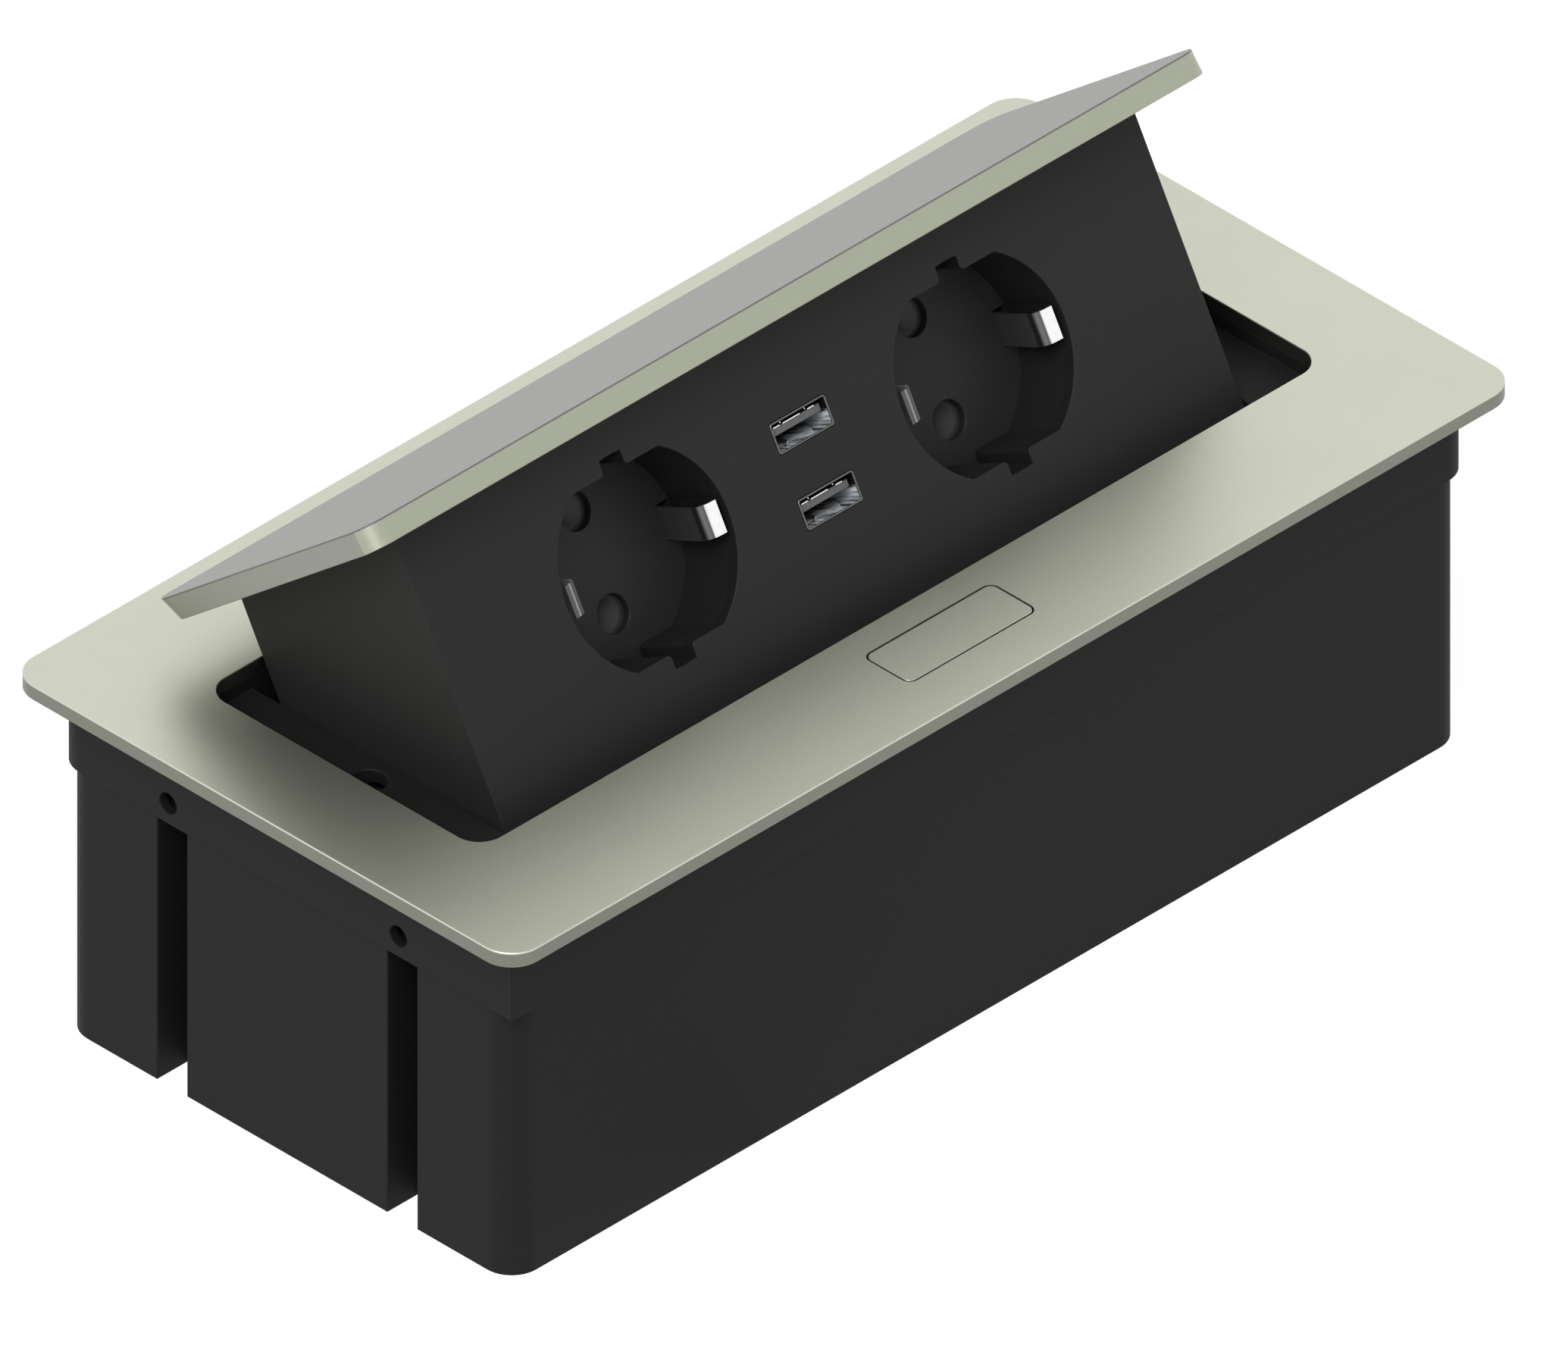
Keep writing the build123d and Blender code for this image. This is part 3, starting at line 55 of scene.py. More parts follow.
class Wire:
    """A value that runs through a node tree, so that its sums are written as arithmetic."""

    def __init__(self, tree, socket=None):
        self.tree = tree
        self.socket = socket

    def node(self, kind, settings, values, out=0):
        """Add any node: its settings first, then the values or wires of its sockets."""
        made = self.tree.nodes.new(kind)
        for key, setting in settings.items():
            if key == "stops":
                ramp = made.color_ramp
                for element, (place, shade) in zip(ramp.elements, setting):
                    element.position = place
                    element.color = shade
                for place, shade in setting[2:]:
                    ramp.elements.new(place).color = shade
            else:
                setattr(made, key, setting)
        for key, value in values.items():
            for item in value if isinstance(value, list) else [value]:
                if isinstance(item, Wire):
                    self.tree.links.new(item.socket, made.inputs[key])
                else:
                    made.inputs[key].default_value = item
        return Wire(self.tree, made.outputs[out])

    def sum(self, operation, first, second):
        return self.node("ShaderNodeMath", {"operation": operation}, {0: first, 1: second})

    def __add__(self, other):
        return self.sum("ADD", self, other)

    def __mul__(self, other):
        return self.sum("MULTIPLY", self, other)

    def __sub__(self, other):
        return self.sum("SUBTRACT", self, other)

    def __rsub__(self, other):
        return self.sum("SUBTRACT", other, self)

    def __gt__(self, other):
        return self.sum("GREATER_THAN", self, other)

    __radd__ = __add__
    __rmul__ = __mul__

    def mix(self, low, high):
        """Blend two colours by this value."""
        return self.node("ShaderNodeMix", {"data_type": "RGBA"}, {0: self, 6: low, 7: high}, 2)

    def times(self, level):
        """This colour made darker or lighter by a value."""
        return self.node("ShaderNodeVectorMath", {"operation": "SCALE"}, {0: self, 3: level})

    def along(self, x, y, z):
        """How far this point lies along a direction."""
        direction = (x, y, z)
        return self.node("ShaderNodeVectorMath", {"operation": "DOT_PRODUCT"}, {0: self, 1: direction}, 1)

    def grain(self, scale, detail=2.0, stretch=(1, 1, 1)):
        """Soft noise at this point, from 0 to 1."""
        placed = self.node("ShaderNodeMapping", {}, {"Vector": self, "Scale": stretch})
        return self.node("ShaderNodeTexNoise", {}, {"Vector": placed, "Scale": scale, "Detail": detail})


def finish_of(name, paint, **plain):
    """A material. paint gets the point on the piece and returns what changes over it."""
    material = bpy.data.materials.new(name)
    material.use_nodes = True
    tree = material.node_tree
    shader = tree.nodes["Principled BSDF"]
    for key, value in plain.items():
        shader.inputs[key.replace("_", " ")].default_value = value
    spot = Wire(tree).node("ShaderNodeTexCoord", {}, {}, 3)
    varied = paint(spot)
    height = varied.pop("Bump", None)
    if height is not None:
        grain, depth, strength = height
        varied["Normal"] = grain.node(
            "ShaderNodeBump", {}, {"Height": grain, "Distance": depth, "Strength": strength}
        )
    for key, wire in varied.items():
        tree.links.new(wire.socket, shader.inputs[key])
    return material


def shade(mesh, angle=27):
    """Smooth the normals across faces that meet at a small angle, weighted by area."""
    limit = math.cos(math.radians(angle))
    around = [[] for vert in mesh.vertices]
    sides = [(face.normal.copy(), face.area, tuple(face.vertices)) for face in mesh.polygons]
    for side in sides:
        for vert in side[2]:
            around[vert].append(side)
    normals = []
    for normal, area, verts in sides:
        for vert in verts:
            near = [n * a for n, a, other in around[vert] if n.dot(normal) > limit]
            normals.append(sum(near, Vector()).normalized())
    mesh.shade_smooth()
    mesh.normals_split_custom_set(normals)


def stand_in(piece, body, slot, *nodes):
    """Put a finished piece on its body, in place of CAD nodes where it has some."""
    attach(piece, body)
    if nodes:
        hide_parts(*nodes)


def merged(node):
    """A copy of a CAD node's mesh with the seams between its faces closed."""
    shape = bmesh.new()
    shape.from_mesh(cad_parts[node].data)
    bmesh.ops.remove_doubles(shape, verts=shape.verts, dist=2e-6)
    return shape


def linked(name, data, *materials):
    """A new object in the scene, of a mesh, light or camera."""
    for material in materials:
        data.materials.append(material)
    piece = bpy.data.objects.new(name, data)
    bpy.context.scene.collection.objects.link(piece)
    return piece


def broken_edges(node, name, chamfer, material, where=None):
    """A merged copy of a solid with its arrises taken off, all or only where a test holds."""
    shape = merged(node)
    bmesh.ops.dissolve_limit(shape, angle_limit=math.radians(0.6), verts=shape.verts, edges=shape.edges)
    arrises = [e for e in shape.edges if e.is_manifold and e.calc_face_angle(0) > math.radians(35)]
    if where:
        arrises = [e for e in arrises if where((e.verts[0].co + e.verts[1].co) / 2)]
    bmesh.ops.bevel(
        shape, geom=arrises, offset=chamfer, offset_type="OFFSET", segments=1, affect="EDGES", profile=0.5
    )
    bmesh.ops.triangulate(shape, faces=[f for f in shape.faces if len(f.verts) > 4])
    mesh = bpy.data.meshes.new(name)
    shape.to_mesh(mesh)
    shape.free()
    shade(mesh)
    return linked(name, mesh, material)


champagne = (0.625, 0.645, 0.540, 1)
# Painted shade for the side faces of the flange.
painted_side_shade = (0.230, 0.236, 0.199, 1)
metal_arris = 0.0001


def anodised(low, high):
    """Blasted and anodised aluminium whose side faces, between two heights, get a darker painted shade."""

    def paint(spot):
        fine = spot.grain(2600)
        cloud = spot.grain(60, 3.0)
        face = (cloud - 0.5) * 0.05 + (fine - 0.5) * 0.07 + 1.0
        upright = spot.along(0, 0, 1)
        side = (upright > low) * (high - upright > 0)
        # Painted shade: the side faces take the darker colour.
        tone = side.mix(champagne, painted_side_shade).times(face)
        rough = (fine - 0.5) * 0.08 + 0.40
        return {"Base Color": tone, "Roughness": rough, "Bump": (fine, 0.00003, 0.25)}

    return paint


plate_metal = finish_of("flange_anodising", anodised(-0.001, 0.0027), Metallic=1.0)
button_low, button_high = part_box("button")


def off_button(spot):
    """True away from the button's hole, whose rim stays sharp."""
    return not (abs(spot.x) < 0.018 and button_low.y - 0.002 < spot.y < button_high.y + 0.002)


flange = broken_edges("top_frame", "flange_plate", metal_arris, plate_metal, where=off_button)
stand_in(flange, "housing", "anodised_aluminium", "top_frame")


# Push button. A cap flush with the flange and finished like it, on a black moulded stem
# that passes down through the collar to the hook. Only a fine groove shows round the cap.

def button_paint(spot):
    fine = spot.grain(2600)
    cap = spot.along(0, 0, 1) > 0.0005
    tone = cap.mix((0.02, 0.02, 0.02, 1), champagne).times((fine - 0.5) * 0.07 + 1.0)
    rough = (fine - 0.5) * 0.08 + 0.42
    return {"Base Color": tone, "Metallic": cap, "Roughness": rough, "Bump": (fine, 0.00003, 0.25)}


button_finish = finish_of("button_anodising", button_paint)
button = broken_edges("button", "push_button", 0.00004, button_finish)
stand_in(button, "button", "anodised_aluminium", "button")


# Upper and lower housing. Two black mouldings with a fine eroded surface, joined by a lip
# and four long screws. A small plate slides into a notch of the back wall to hold the gland.

def moulded(tone, rough, scale=1800, shade_mask=None):
    """Black moulded plastic with the fine pits of its tool, with painted shade where its optional mask
    holds.
    """

    def paint(spot):
        pits = spot.grain(scale, 3.0)
        flow = spot.grain(25, 2.0)
        level = (pits - 0.5) * 0.22 + (flow - 0.5) * 0.12 + 1.0
        if shade_mask:
            # Painted shade: darker where the mask holds, as on the walls of the wells.
            level = level * (1.0 - shade_mask(spot) * 0.38)
        plain = spot.node("ShaderNodeRGB", {}, {})
        plain.socket.default_value = (tone, tone, tone * 0.985, 1)
        return {
            "Base Color": plain.times(level),
            "Roughness": (pits - 0.5) * 0.10 + rough,
            "Bump": (pits, 0.00004, 0.35),
        }

    return paint


housing_black = finish_of("housing_moulding", moulded(0.0118, 0.62), Specular_IOR_Level=0.15)
for node, name in (("collar", "upper_housing"), ("tub", "lower_housing"), ("gland_plate", "gland_holder")):
    stand_in(broken_edges(node, name, 0.00018, housing_black), "housing", "black_housing", node)


# Screws. Zinc plated steel with cross recesses: four long ones up through the housing's
# corner posts, six into the flange, four in the quadrants, and the module's own.

def wired(name, sockets):
    """An empty node group that takes geometry and the named sizes."""
    tree = bpy.data.node_groups.new(name, "GeometryNodeTree")
    tree.interface.new_socket("Geometry", in_out="INPUT", socket_type="NodeSocketGeometry")
    for label, kind in sockets:
        tree.interface.new_socket(label, in_out="INPUT", socket_type="NodeSocket" + kind)
    tree.interface.new_socket("Geometry", in_out="OUTPUT", socket_type="NodeSocketGeometry")
    entry = tree.nodes.new("NodeGroupInput")
    given = {s.name: Wire(tree, s) for s in entry.outputs if s.name}
    return tree, given


def close_tree(tree, last):
    """End a tree with real geometry and its material."""
    solid = last.node("GeometryNodeRealizeInstances", {}, {"Geometry": last})
    finish = [s for s in tree.nodes["Group Input"].outputs if s.name == "Finish"][0]
    solid = solid.node("GeometryNodeSetMaterial", {}, {"Geometry": solid, "Material": Wire(tree, finish)})
    tree.links.new(solid.socket, tree.nodes.new("NodeGroupOutput").inputs[0])


def grown(name, points, tree, **sizes):
    """Run a tree on loose points and keep the result as a plain mesh."""
    seed = bpy.data.meshes.new(name + "_points")
    seed.from_pydata([tuple(p) for p in points], [], [])
    piece = linked(name, seed)
    modifier = piece.modifiers.new("Grow", "NODES")
    modifier.node_group = tree
    for item in tree.interface.items_tree:
        if item.in_out == "INPUT" and item.name in sizes:
            modifier[item.identifier] = sizes[item.name]
    view = bpy.context.evaluated_depsgraph_get()
    mesh = bpy.data.meshes.new_from_object(
        piece.evaluated_get(view), preserve_all_data_layers=True, depsgraph=view
    )
    piece.modifiers.remove(modifier)
    piece.data = mesh
    shade(mesh)
    return piece


screw_tree, size = wired("cross_recess_screw", [
    ("Head radius", "Float"), ("Head height", "Float"), ("Shank radius", "Float"),
    ("Shank length", "Float"), ("Recess width", "Float"), ("Recess depth", "Float"),
    ("Turn", "Vector"), ("Finish", "Material"),
])
head_lift = size["Head height"].node("ShaderNodeCombineXYZ", {}, {2: size["Head height"] * 0.5})
head = head_lift.node(
    "GeometryNodeMeshCylinder", {},
    {"Vertices": 32, "Radius": size["Head radius"], "Depth": size["Head height"]},
)
head = head.node("GeometryNodeTransform", {}, {"Geometry": head, "Translation": head_lift})
arms = []
for across in (0, 1):
    long_side, short_side = size["Head radius"] * 1.25, size["Recess width"]
    span = {across: long_side, 1 - across: short_side, 2: size["Recess depth"] * 2}
    arms.append(head.node("GeometryNodeMeshCube", {}, {"Size": head.node("ShaderNodeCombineXYZ", {}, span)}))
head = head.node(
    "GeometryNodeMeshBoolean", {"operation": "DIFFERENCE", "solver": "EXACT"},
    {"Mesh 1": head, "Mesh 2": arms},
)
shank = head.node(
    "GeometryNodeMeshCylinder", {},
    {"Vertices": 20, "Radius": size["Shank radius"], "Depth": size["Shank length"]},
)
shank_lift = size["Head height"] + size["Shank length"] * 0.5 - 0.00001
shank_lift = shank_lift.node("ShaderNodeCombineXYZ", {}, {2: shank_lift})
shank = shank.node("GeometryNodeTransform", {}, {"Geometry": shank, "Translation": shank_lift})
whole = head.node("GeometryNodeJoinGeometry", {}, {"Geometry": [head, shank]})
whole = whole.node(
    "GeometryNodeInstanceOnPoints", {},
    {"Points": size["Geometry"], "Instance": whole, "Rotation": size["Turn"]},
)
close_tree(screw_tree, whole)


def zinc_paint(spot):
    cloud = spot.grain(700, 3.0)
    tone = cloud.mix((0.42, 0.42, 0.43, 1), (0.66, 0.66, 0.68, 1))
    return {"Base Color": tone, "Roughness": (cloud - 0.5) * 0.2 + 0.34, "Bump": (cloud, 0.00002, 0.3)}


zinc = finish_of("zinc_plating", zinc_paint, Metallic=1.0)


def islands(node):
    """The points of each separate solid of a CAD node."""
    shape = merged(node)
    todo = set(shape.verts)
    found = []
    while todo:
        group = [todo.pop()]
        stack = list(group)
        while stack:
            for link in stack.pop().link_edges:
                for vert in link.verts:
                    if vert in todo:
                        todo.discard(vert)
                        group.append(vert)
                        stack.append(vert)
        found.append([vert.co.copy() for vert in group])
    shape.free()
    return found


def screws(node, name, body, axis):
    """Recessed screws at the places of a node's plain ones. axis points from head to tip."""
    spots = []
    for cloud in islands(node):
        reach = [axis.dot(p) for p in cloud]
        low, high = min(reach), max(reach)
        rim = [p for p in cloud if axis.dot(p) < low + 1e-5]
        ends = [Vector([pick(p[i] for p in rim) for i in range(3)]) for pick in (min, max)]
        spots.append((ends[0] + ends[1]) / 2)
        length = high - low
    piece = grown(
        name, spots, screw_tree,
        **{
            "Head radius": 0.00258, "Head height": head_height, "Shank radius": 0.0014,
            "Shank length": length - head_height, "Recess width": 0.0008, "Recess depth": 0.0009,
            "Turn": tuple(axis.to_track_quat("Z", "Y").to_euler()), "Finish": zinc,
        },
    )
    stand_in(piece, body, "zinc_steel", node)


head_height = 0.0016
lean = math.radians(38.75)
slope = lean - math.radians(10)
upwards = Vector((0, 0, 1))
up_slope = Vector((0, math.sin(slope), math.cos(slope)))
out_of_face = Vector((0, -math.cos(slope), math.sin(slope)))
lid_normal = Vector((0, math.sin(lean), math.cos(lean)))
screws("frame_screws", "flange_screws", "housing", upwards)
screws("housing_screws", "corner_screws", "housing", upwards)
screws("quadrant_screws", "ledge_screws", "housing", upwards)
screws("cover_screws", "back_screws", "module", out_of_face)
screws("lid_screws", "lid_plate_screws", "module", lid_normal)
screws("strike_screws", "strike_plate_screws", "module", lid_normal)


# Guide quadrants, guide pins and latch. Punched and zinc plated steel plates under the
# ledges, with polished pins that ride in their slots, a bent strip as the hook, and a leaf
# spring under the button; the real spring flattens as the button goes down, this one keeps its shape.

def coat(material, *nodes):
    """Give CAD nodes that keep their own shape a material."""
    for node in nodes:
        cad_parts[node].data.materials.clear()
        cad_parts[node].data.materials.append(material)


coat(zinc, "guide_quadrant_left", "guide_quadrant_right", "latch_hook", "strike_plate")


def polished_paint(spot):
    turned = spot.grain(900, 2.0, (12, 1, 1))
    tone = turned.mix((0.60, 0.60, 0.61, 1), (0.80, 0.80, 0.81, 1))
    return {"Base Color": tone, "Roughness": (turned - 0.5) * 0.12 + 0.2}


polished = finish_of("polished_steel", polished_paint, Metallic=1.0)
coat(polished, "guide_pins")
leaf = broken_edges("button_spring", "leaf_spring", 0.00005, polished)
stand_in(leaf, "housing", "sprung_steel", "button_spring")
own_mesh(leaf)


# Cable gland. A soft black rubber grommet snapped into its plate in the back wall, with a
# rounded outer flange, a waist that the plate sits in, and rings that grip the cable.

gland_low, gland_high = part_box("cable_gland")
gland_x, gland_z = (gland_low.x + gland_high.x) / 2, (gland_low.z + gland_high.z) / 2
gland_back = gland_high.y - 0.002
outline = [
    (4.5, -3.9), (8.2, -3.9), (8.8, -3.6), (8.95, -3.0), (8.9, -2.2), (6.9, -2.0), (6.9, 0.0),
    (8.9, 0.1), (8.95, 0.9), (8.7, 1.5), (8.1, 1.9), (6.2, 1.95), (5.9, 1.6), (5.5, 1.6),
    (5.2, 1.95), (4.8, 1.9), (4.55, 1.6), (4.9, 1.0), (4.55, 0.4), (4.9, -0.3), (4.55, -1.0),
    (4.9, -1.7), (4.55, -2.4), (4.9, -3.1),
]
turns = 48
rings = [
    (
        gland_x + radius / 1000 * math.cos(math.tau * k / turns),
        gland_back + along / 1000,
        gland_z + radius / 1000 * math.sin(math.tau * k / turns),
    )
    for k in range(turns)
    for radius, along in outline
]
count = len(outline)
quads = []
for k in range(turns):
    here, there = k * count, (k + 1) % turns * count
    for i in range(count):
        following = (i + 1) % count
        quads.append((here + i, there + i, there + following, here + following))


def mesh_piece(name, points, faces, material, angle):
    """A piece from points and faces, with its faces turned outwards."""
    mesh = bpy.data.meshes.new(name)
    mesh.from_pydata([tuple(p) for p in points], [], faces)
    shape = bmesh.new()
    shape.from_mesh(mesh)
    bmesh.ops.recalc_face_normals(shape, faces=shape.faces)
    shape.to_mesh(mesh)
    shape.free()
    shade(mesh, angle)
    return linked(name, mesh, material)


gland_rubber = finish_of("gland_rubber", moulded(0.018, 0.72, 900), Specular_IOR_Level=0.3)
gland = mesh_piece("cable_grommet", rings, quads, gland_rubber, angle=50)
stand_in(gland, "housing", "gland_rubber", "cable_gland")


# Lid plate. Aluminium like the flange, blasted finer on its face, screwed to the top of
# the module from below. Its back edge is bevelled so that it swings clear of the flange.

lid_skin = 0.0003
lid_face = max(lid_normal.dot(v.co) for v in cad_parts["lid"].data.vertices) - lid_skin
lid_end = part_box("lid")[1].x - lid_skin


def lid_paint(spot):
    """Grey on its face, darkened as painted shade, and paler on its long edges and its ends, as painted
    light that differs from side to side.
    """
    fine = spot.grain(3000)
    side = lid_face - spot.along(*lid_normal) > 0
    across = spot.along(1, 0, 0)
    end = across * across > lid_end * lid_end
    # Painted light: the long edges and the ends each get their own paler tone.
    rim = end.mix((0.40, 0.42, 0.335, 1), (0.315, 0.325, 0.285, 1))
    # Painted shade darkens the face.
    tone = side.mix((0.186, 0.190, 0.169, 1), rim).times((fine - 0.5) * 0.06 + 1.0)
    return {"Base Color": tone, "Roughness": (fine - 0.5) * 0.08 + 0.36, "Bump": (fine, 0.00003, 0.2)}


lid_metal = finish_of("lid_anodising", lid_paint, Metallic=1.0)
lid = broken_edges("lid", "lid_plate", metal_arris, lid_metal)
stand_in(lid, "module", "lid_aluminium", "lid")


# Module body and back. A black moulding with a sloping front, smoother than the housing,
# and a plate that closes its back with four screws.

pivot = Vector((0, 0.0548, -0.0111))
face_closed = Vector((0, -0.02315, -0.0015))
face_origin = pivot + Matrix.Rotation(-lean, 3, "X") @ (face_closed - pivot)
face_level = out_of_face.dot(face_origin)
well_floor, past_wells = 0.0146, 0.0616


def well_wall_shade(spot):
    """Marks the walls of the wells, between the sloping face and their floors, for painted shade."""
    depth = face_level - spot.along(*out_of_face)
    across = spot.along(1, 0, 0)
    within = past_wells * past_wells - across * across > 0
    return (depth > 0.0003) * (well_floor - depth > 0) * within


def outer_edge(spot):
    """True for the edges of the face and of the module's ends."""
    return face_level - out_of_face.dot(spot) < 0.0004 or abs(spot.x) > 0.0875


# The walls of the wells get a painted shade.
module_black = finish_of(
    "module_moulding", moulded(0.0205, 0.55, 2200, well_wall_shade), Specular_IOR_Level=0.17
)
shell = broken_edges("module_shell", "module_body", 0.0001, module_black, where=outer_edge)
stand_in(shell, "module", "black_module", "module_shell")
back = broken_edges("rear_cover", "module_back", 0.00016, module_black)
stand_in(back, "module", "black_module", "rear_cover")


# Socket inserts, blocks and shutters. Black cups behind the round openings, with a thin
# lighter rim at each pin hole, and sliding shutters that close the holes from behind.

socket_drop, socket_reach, pin_reach = -26.1, 40.0, 9.5


def pin_hole_rim(spot):
    """True for the rims of the pin holes in the floor of a well."""
    along = up_slope.dot(spot - face_origin) * 1000 - socket_drop
    return math.hypot(abs(spot.x * 1000) - socket_reach, abs(along) - pin_reach) < 3.8


# The walls of the wells in the cups get a painted shade.
insert_black = finish_of("insert_moulding", moulded(0.023, 0.5, 2200, well_wall_shade), Specular_IOR_Level=0.25)
# The shutters are painted lighter than the cups, painted light that offsets the shade deep in the pin holes.
shutter_black = finish_of("shutter_moulding", moulded(0.038, 0.45, 2200), Specular_IOR_Level=0.3)
for side in ("left", "right"):
    cup = broken_edges("socket_" + side, "socket_cup_" + side, 0.00012, insert_black, where=pin_hole_rim)
    stand_in(cup, "module", "black_insert", "socket_" + side)
    slide = broken_edges("shutter_" + side, "pin_shutter_" + side, 0.0001, shutter_black)
    stand_in(slide, "shutter_slide_" + side, "black_insert", "shutter_" + side)
    coat(insert_black, "socket_back_" + side)


# Earth contacts. One bent strip of bright plated spring steel for each socket, up both
# sides of the well, with a bulge that the plug's contact rubs on and a curl at its end.

def face_spot(x, along, out):
    """A point by its place on the sloping face and its height out of it, in millimetres."""
    flat = face_origin + Vector((x / 1000, 0, 0)) + up_slope * (along / 1000)
    return flat + out_of_face * (out / 1000)


def clip_paint(spot):
    """Painted reflections: a mirror bright highlight at the right free ends, light and dark bands at the
    left ones, and painted shade further down.
    """
    drawn = spot.grain(900, 2.0, (3, 1, 1))
    depth = (face_level - spot.along(*out_of_face)) * 200
    across = spot.along(1, 0, 0)
    from_axis = across - (across > 0) * 0.08 + 0.04
    left = from_axis * -1 > 0
    # Painted highlight at the free ends, then painted shade deeper in the well.
    bright = depth.node("ShaderNodeValToRGB", {"stops": [
        (0.215, (0.95, 0.95, 0.95, 1)), (0.245, (0.85, 0.85, 0.85, 1)),
        (0.270, (0.07, 0.07, 0.07, 1)), (0.350, (0.15, 0.15, 0.145, 1)),
        (0.430, (0.09, 0.09, 0.085, 1)), (0.490, (0.010, 0.010, 0.010, 1)),
        (0.620, (0.012, 0.012, 0.012, 1)), (0.760, (0.042, 0.042, 0.042, 1)),
    ]}, {"Fac": depth})
    # Painted light and dark bands across the left clip's end.
    painted_bands = from_axis.node("ShaderNodeValToRGB", {"stops": [
        (0.770, (0.30, 0.30, 0.30, 1)), (0.800, (0.05, 0.05, 0.05, 1)),
        (0.815, (0.09, 0.09, 0.088, 1)), (0.826, (0.42, 0.42, 0.41, 1)),
        (0.840, (0.16, 0.16, 0.155, 1)), (0.856, (0.04, 0.04, 0.04, 1)),
        (0.872, (0.11, 0.11, 0.108, 1)), (0.886, (0.05, 0.05, 0.05, 1)),
    ]}, {"Fac": from_axis * -50})
    tone = left.mix(bright, painted_bands).times((drawn - 0.5) * 0.3 + 1.0)
    shiny = (1.0 - left) * (0.26 - depth > 0)
    return {"Base Color": tone, "Metallic": shiny, "Roughness": (drawn - 0.5) * 0.1 + 0.3}


def chrome_paint(spot):
    drawn = spot.grain(500, 2.0, (6, 1, 1))
    tone = drawn.mix((0.82, 0.82, 0.83, 1), (0.93, 0.93, 0.93, 1))
    return {"Base Color": tone, "Roughness": (drawn - 0.5) * 0.06 + 0.12}


chrome = finish_of("bright_plating", chrome_paint, Metallic=1.0)
clip_steel = finish_of("clip_plating", clip_paint)
strip_half, strip_thick, left_end = 3.0, 0.6, 17.75
bend = [
    (18.1, -1.12), (17.3, -1.18), (16.6, -1.26), (16.05, -1.42), (15.6, -1.72), (15.22, -2.12),
    (14.95, -2.62), (14.82, -3.2), (14.8, -3.9), (14.95, -5.4), (15.4, -8.8), (15.9, -11.8),
    (16.5, -14.8), (16.85, -18.5), (16.85, -32.35),
]
for side, middle in (("left", -socket_reach), ("right", socket_reach)):
    track = bend + [(-min(x, left_end), out) for x, out in reversed(bend)]
    points, faces = [], []
    for index, (x, out) in enumerate(track):
        before, after = track[max(index - 1, 0)], track[min(index + 1, len(track) - 1)]
        along = Vector((after[0] - before[0], after[1] - before[1])).normalized()
        across = Vector((-along.y, along.x)) * strip_thick / 2
        for sign_along, sign_across in ((-1, -1), (1, -1), (1, 1), (-1, 1)):
            px, pz = x + across.x * sign_across, out + across.y * sign_across
            points.append(face_spot(middle + px, socket_drop + sign_along * strip_half, pz))
    for index in range(len(track) - 1):
        for corner in range(4):
            a, b = index * 4 + corner, index * 4 + (corner + 1) % 4
            faces.append((a, b, b + 4, a + 4))
    faces += [(0, 1, 2, 3), tuple(len(points) - 4 + k for k in range(4))]
    clip = mesh_piece("earth_strip_" + side, points, faces, clip_steel, angle=40)
    stand_in(clip, "module", "sprung_steel", "earth_clips_" + side)


# Pin contacts and bars. Slit brass sleeves that grip the pins, joined behind the sockets
# by three copper bars over a grey terminal block.

def brass_paint(spot):
    cloud = spot.grain(400, 3.0)
    tone = cloud.mix((0.52, 0.36, 0.14, 1), (0.74, 0.56, 0.26, 1))
    return {"Base Color": tone, "Roughness": (cloud - 0.5) * 0.2 + 0.3}


def copper_paint(spot):
    cloud = spot.grain(350, 3.0)
    tone = cloud.mix((0.50, 0.22, 0.12, 1), (0.72, 0.38, 0.24, 1))
    return {"Base Color": tone, "Roughness": (cloud - 0.5) * 0.2 + 0.32}


def grey_paint(spot):
    pits = spot.grain(1500, 2.0)
    tone = pits.mix((0.22, 0.22, 0.225, 1), (0.30, 0.30, 0.305, 1))
    return {"Base Color": tone, "Roughness": (pits - 0.5) * 0.1 + 0.55, "Bump": (pits, 0.00004, 0.3)}


brass = finish_of("contact_brass", brass_paint, Metallic=1.0)
copper = finish_of("bar_copper", copper_paint, Metallic=1.0)
grey_plastic = finish_of("grey_moulding", grey_paint)
coat(brass, "pin_contacts_left", "pin_contacts_right")
coat(copper, "bus_bars")
coat(grey_plastic, "terminal_block", "damper_case", "lift_spring_case")


# Pinions. Small moulded gears in a waxy off-white plastic, one on the rotary damper and
# one on the lifting spring, that roll along the toothed arcs of the quadrants.

def gear_paint(spot):
    cloud = spot.grain(300, 2.0)
    tone = cloud.mix((0.66, 0.64, 0.58, 1), (0.76, 0.74, 0.68, 1))
    return {"Base Color": tone, "Roughness": (cloud - 0.5) * 0.1 + 0.35}


coat(finish_of("gear_plastic", gear_paint), "damper_pinion", "spring_pinion")


# Charging ports. Folded steel sleeves with spring fingers along both long sides, and an
# insulating tongue near the upper side with plated contacts on it.

port_step = 7.0


def port_climb(spot):
    """How far up a port's mouth a point lies from its middle, in either of the two ports."""
    climb = spot.along(*up_slope) - (up_slope.dot(face_origin) + socket_drop / 1000)
    return climb + port_step / 1000 - (climb > 0) * (port_step / 500)


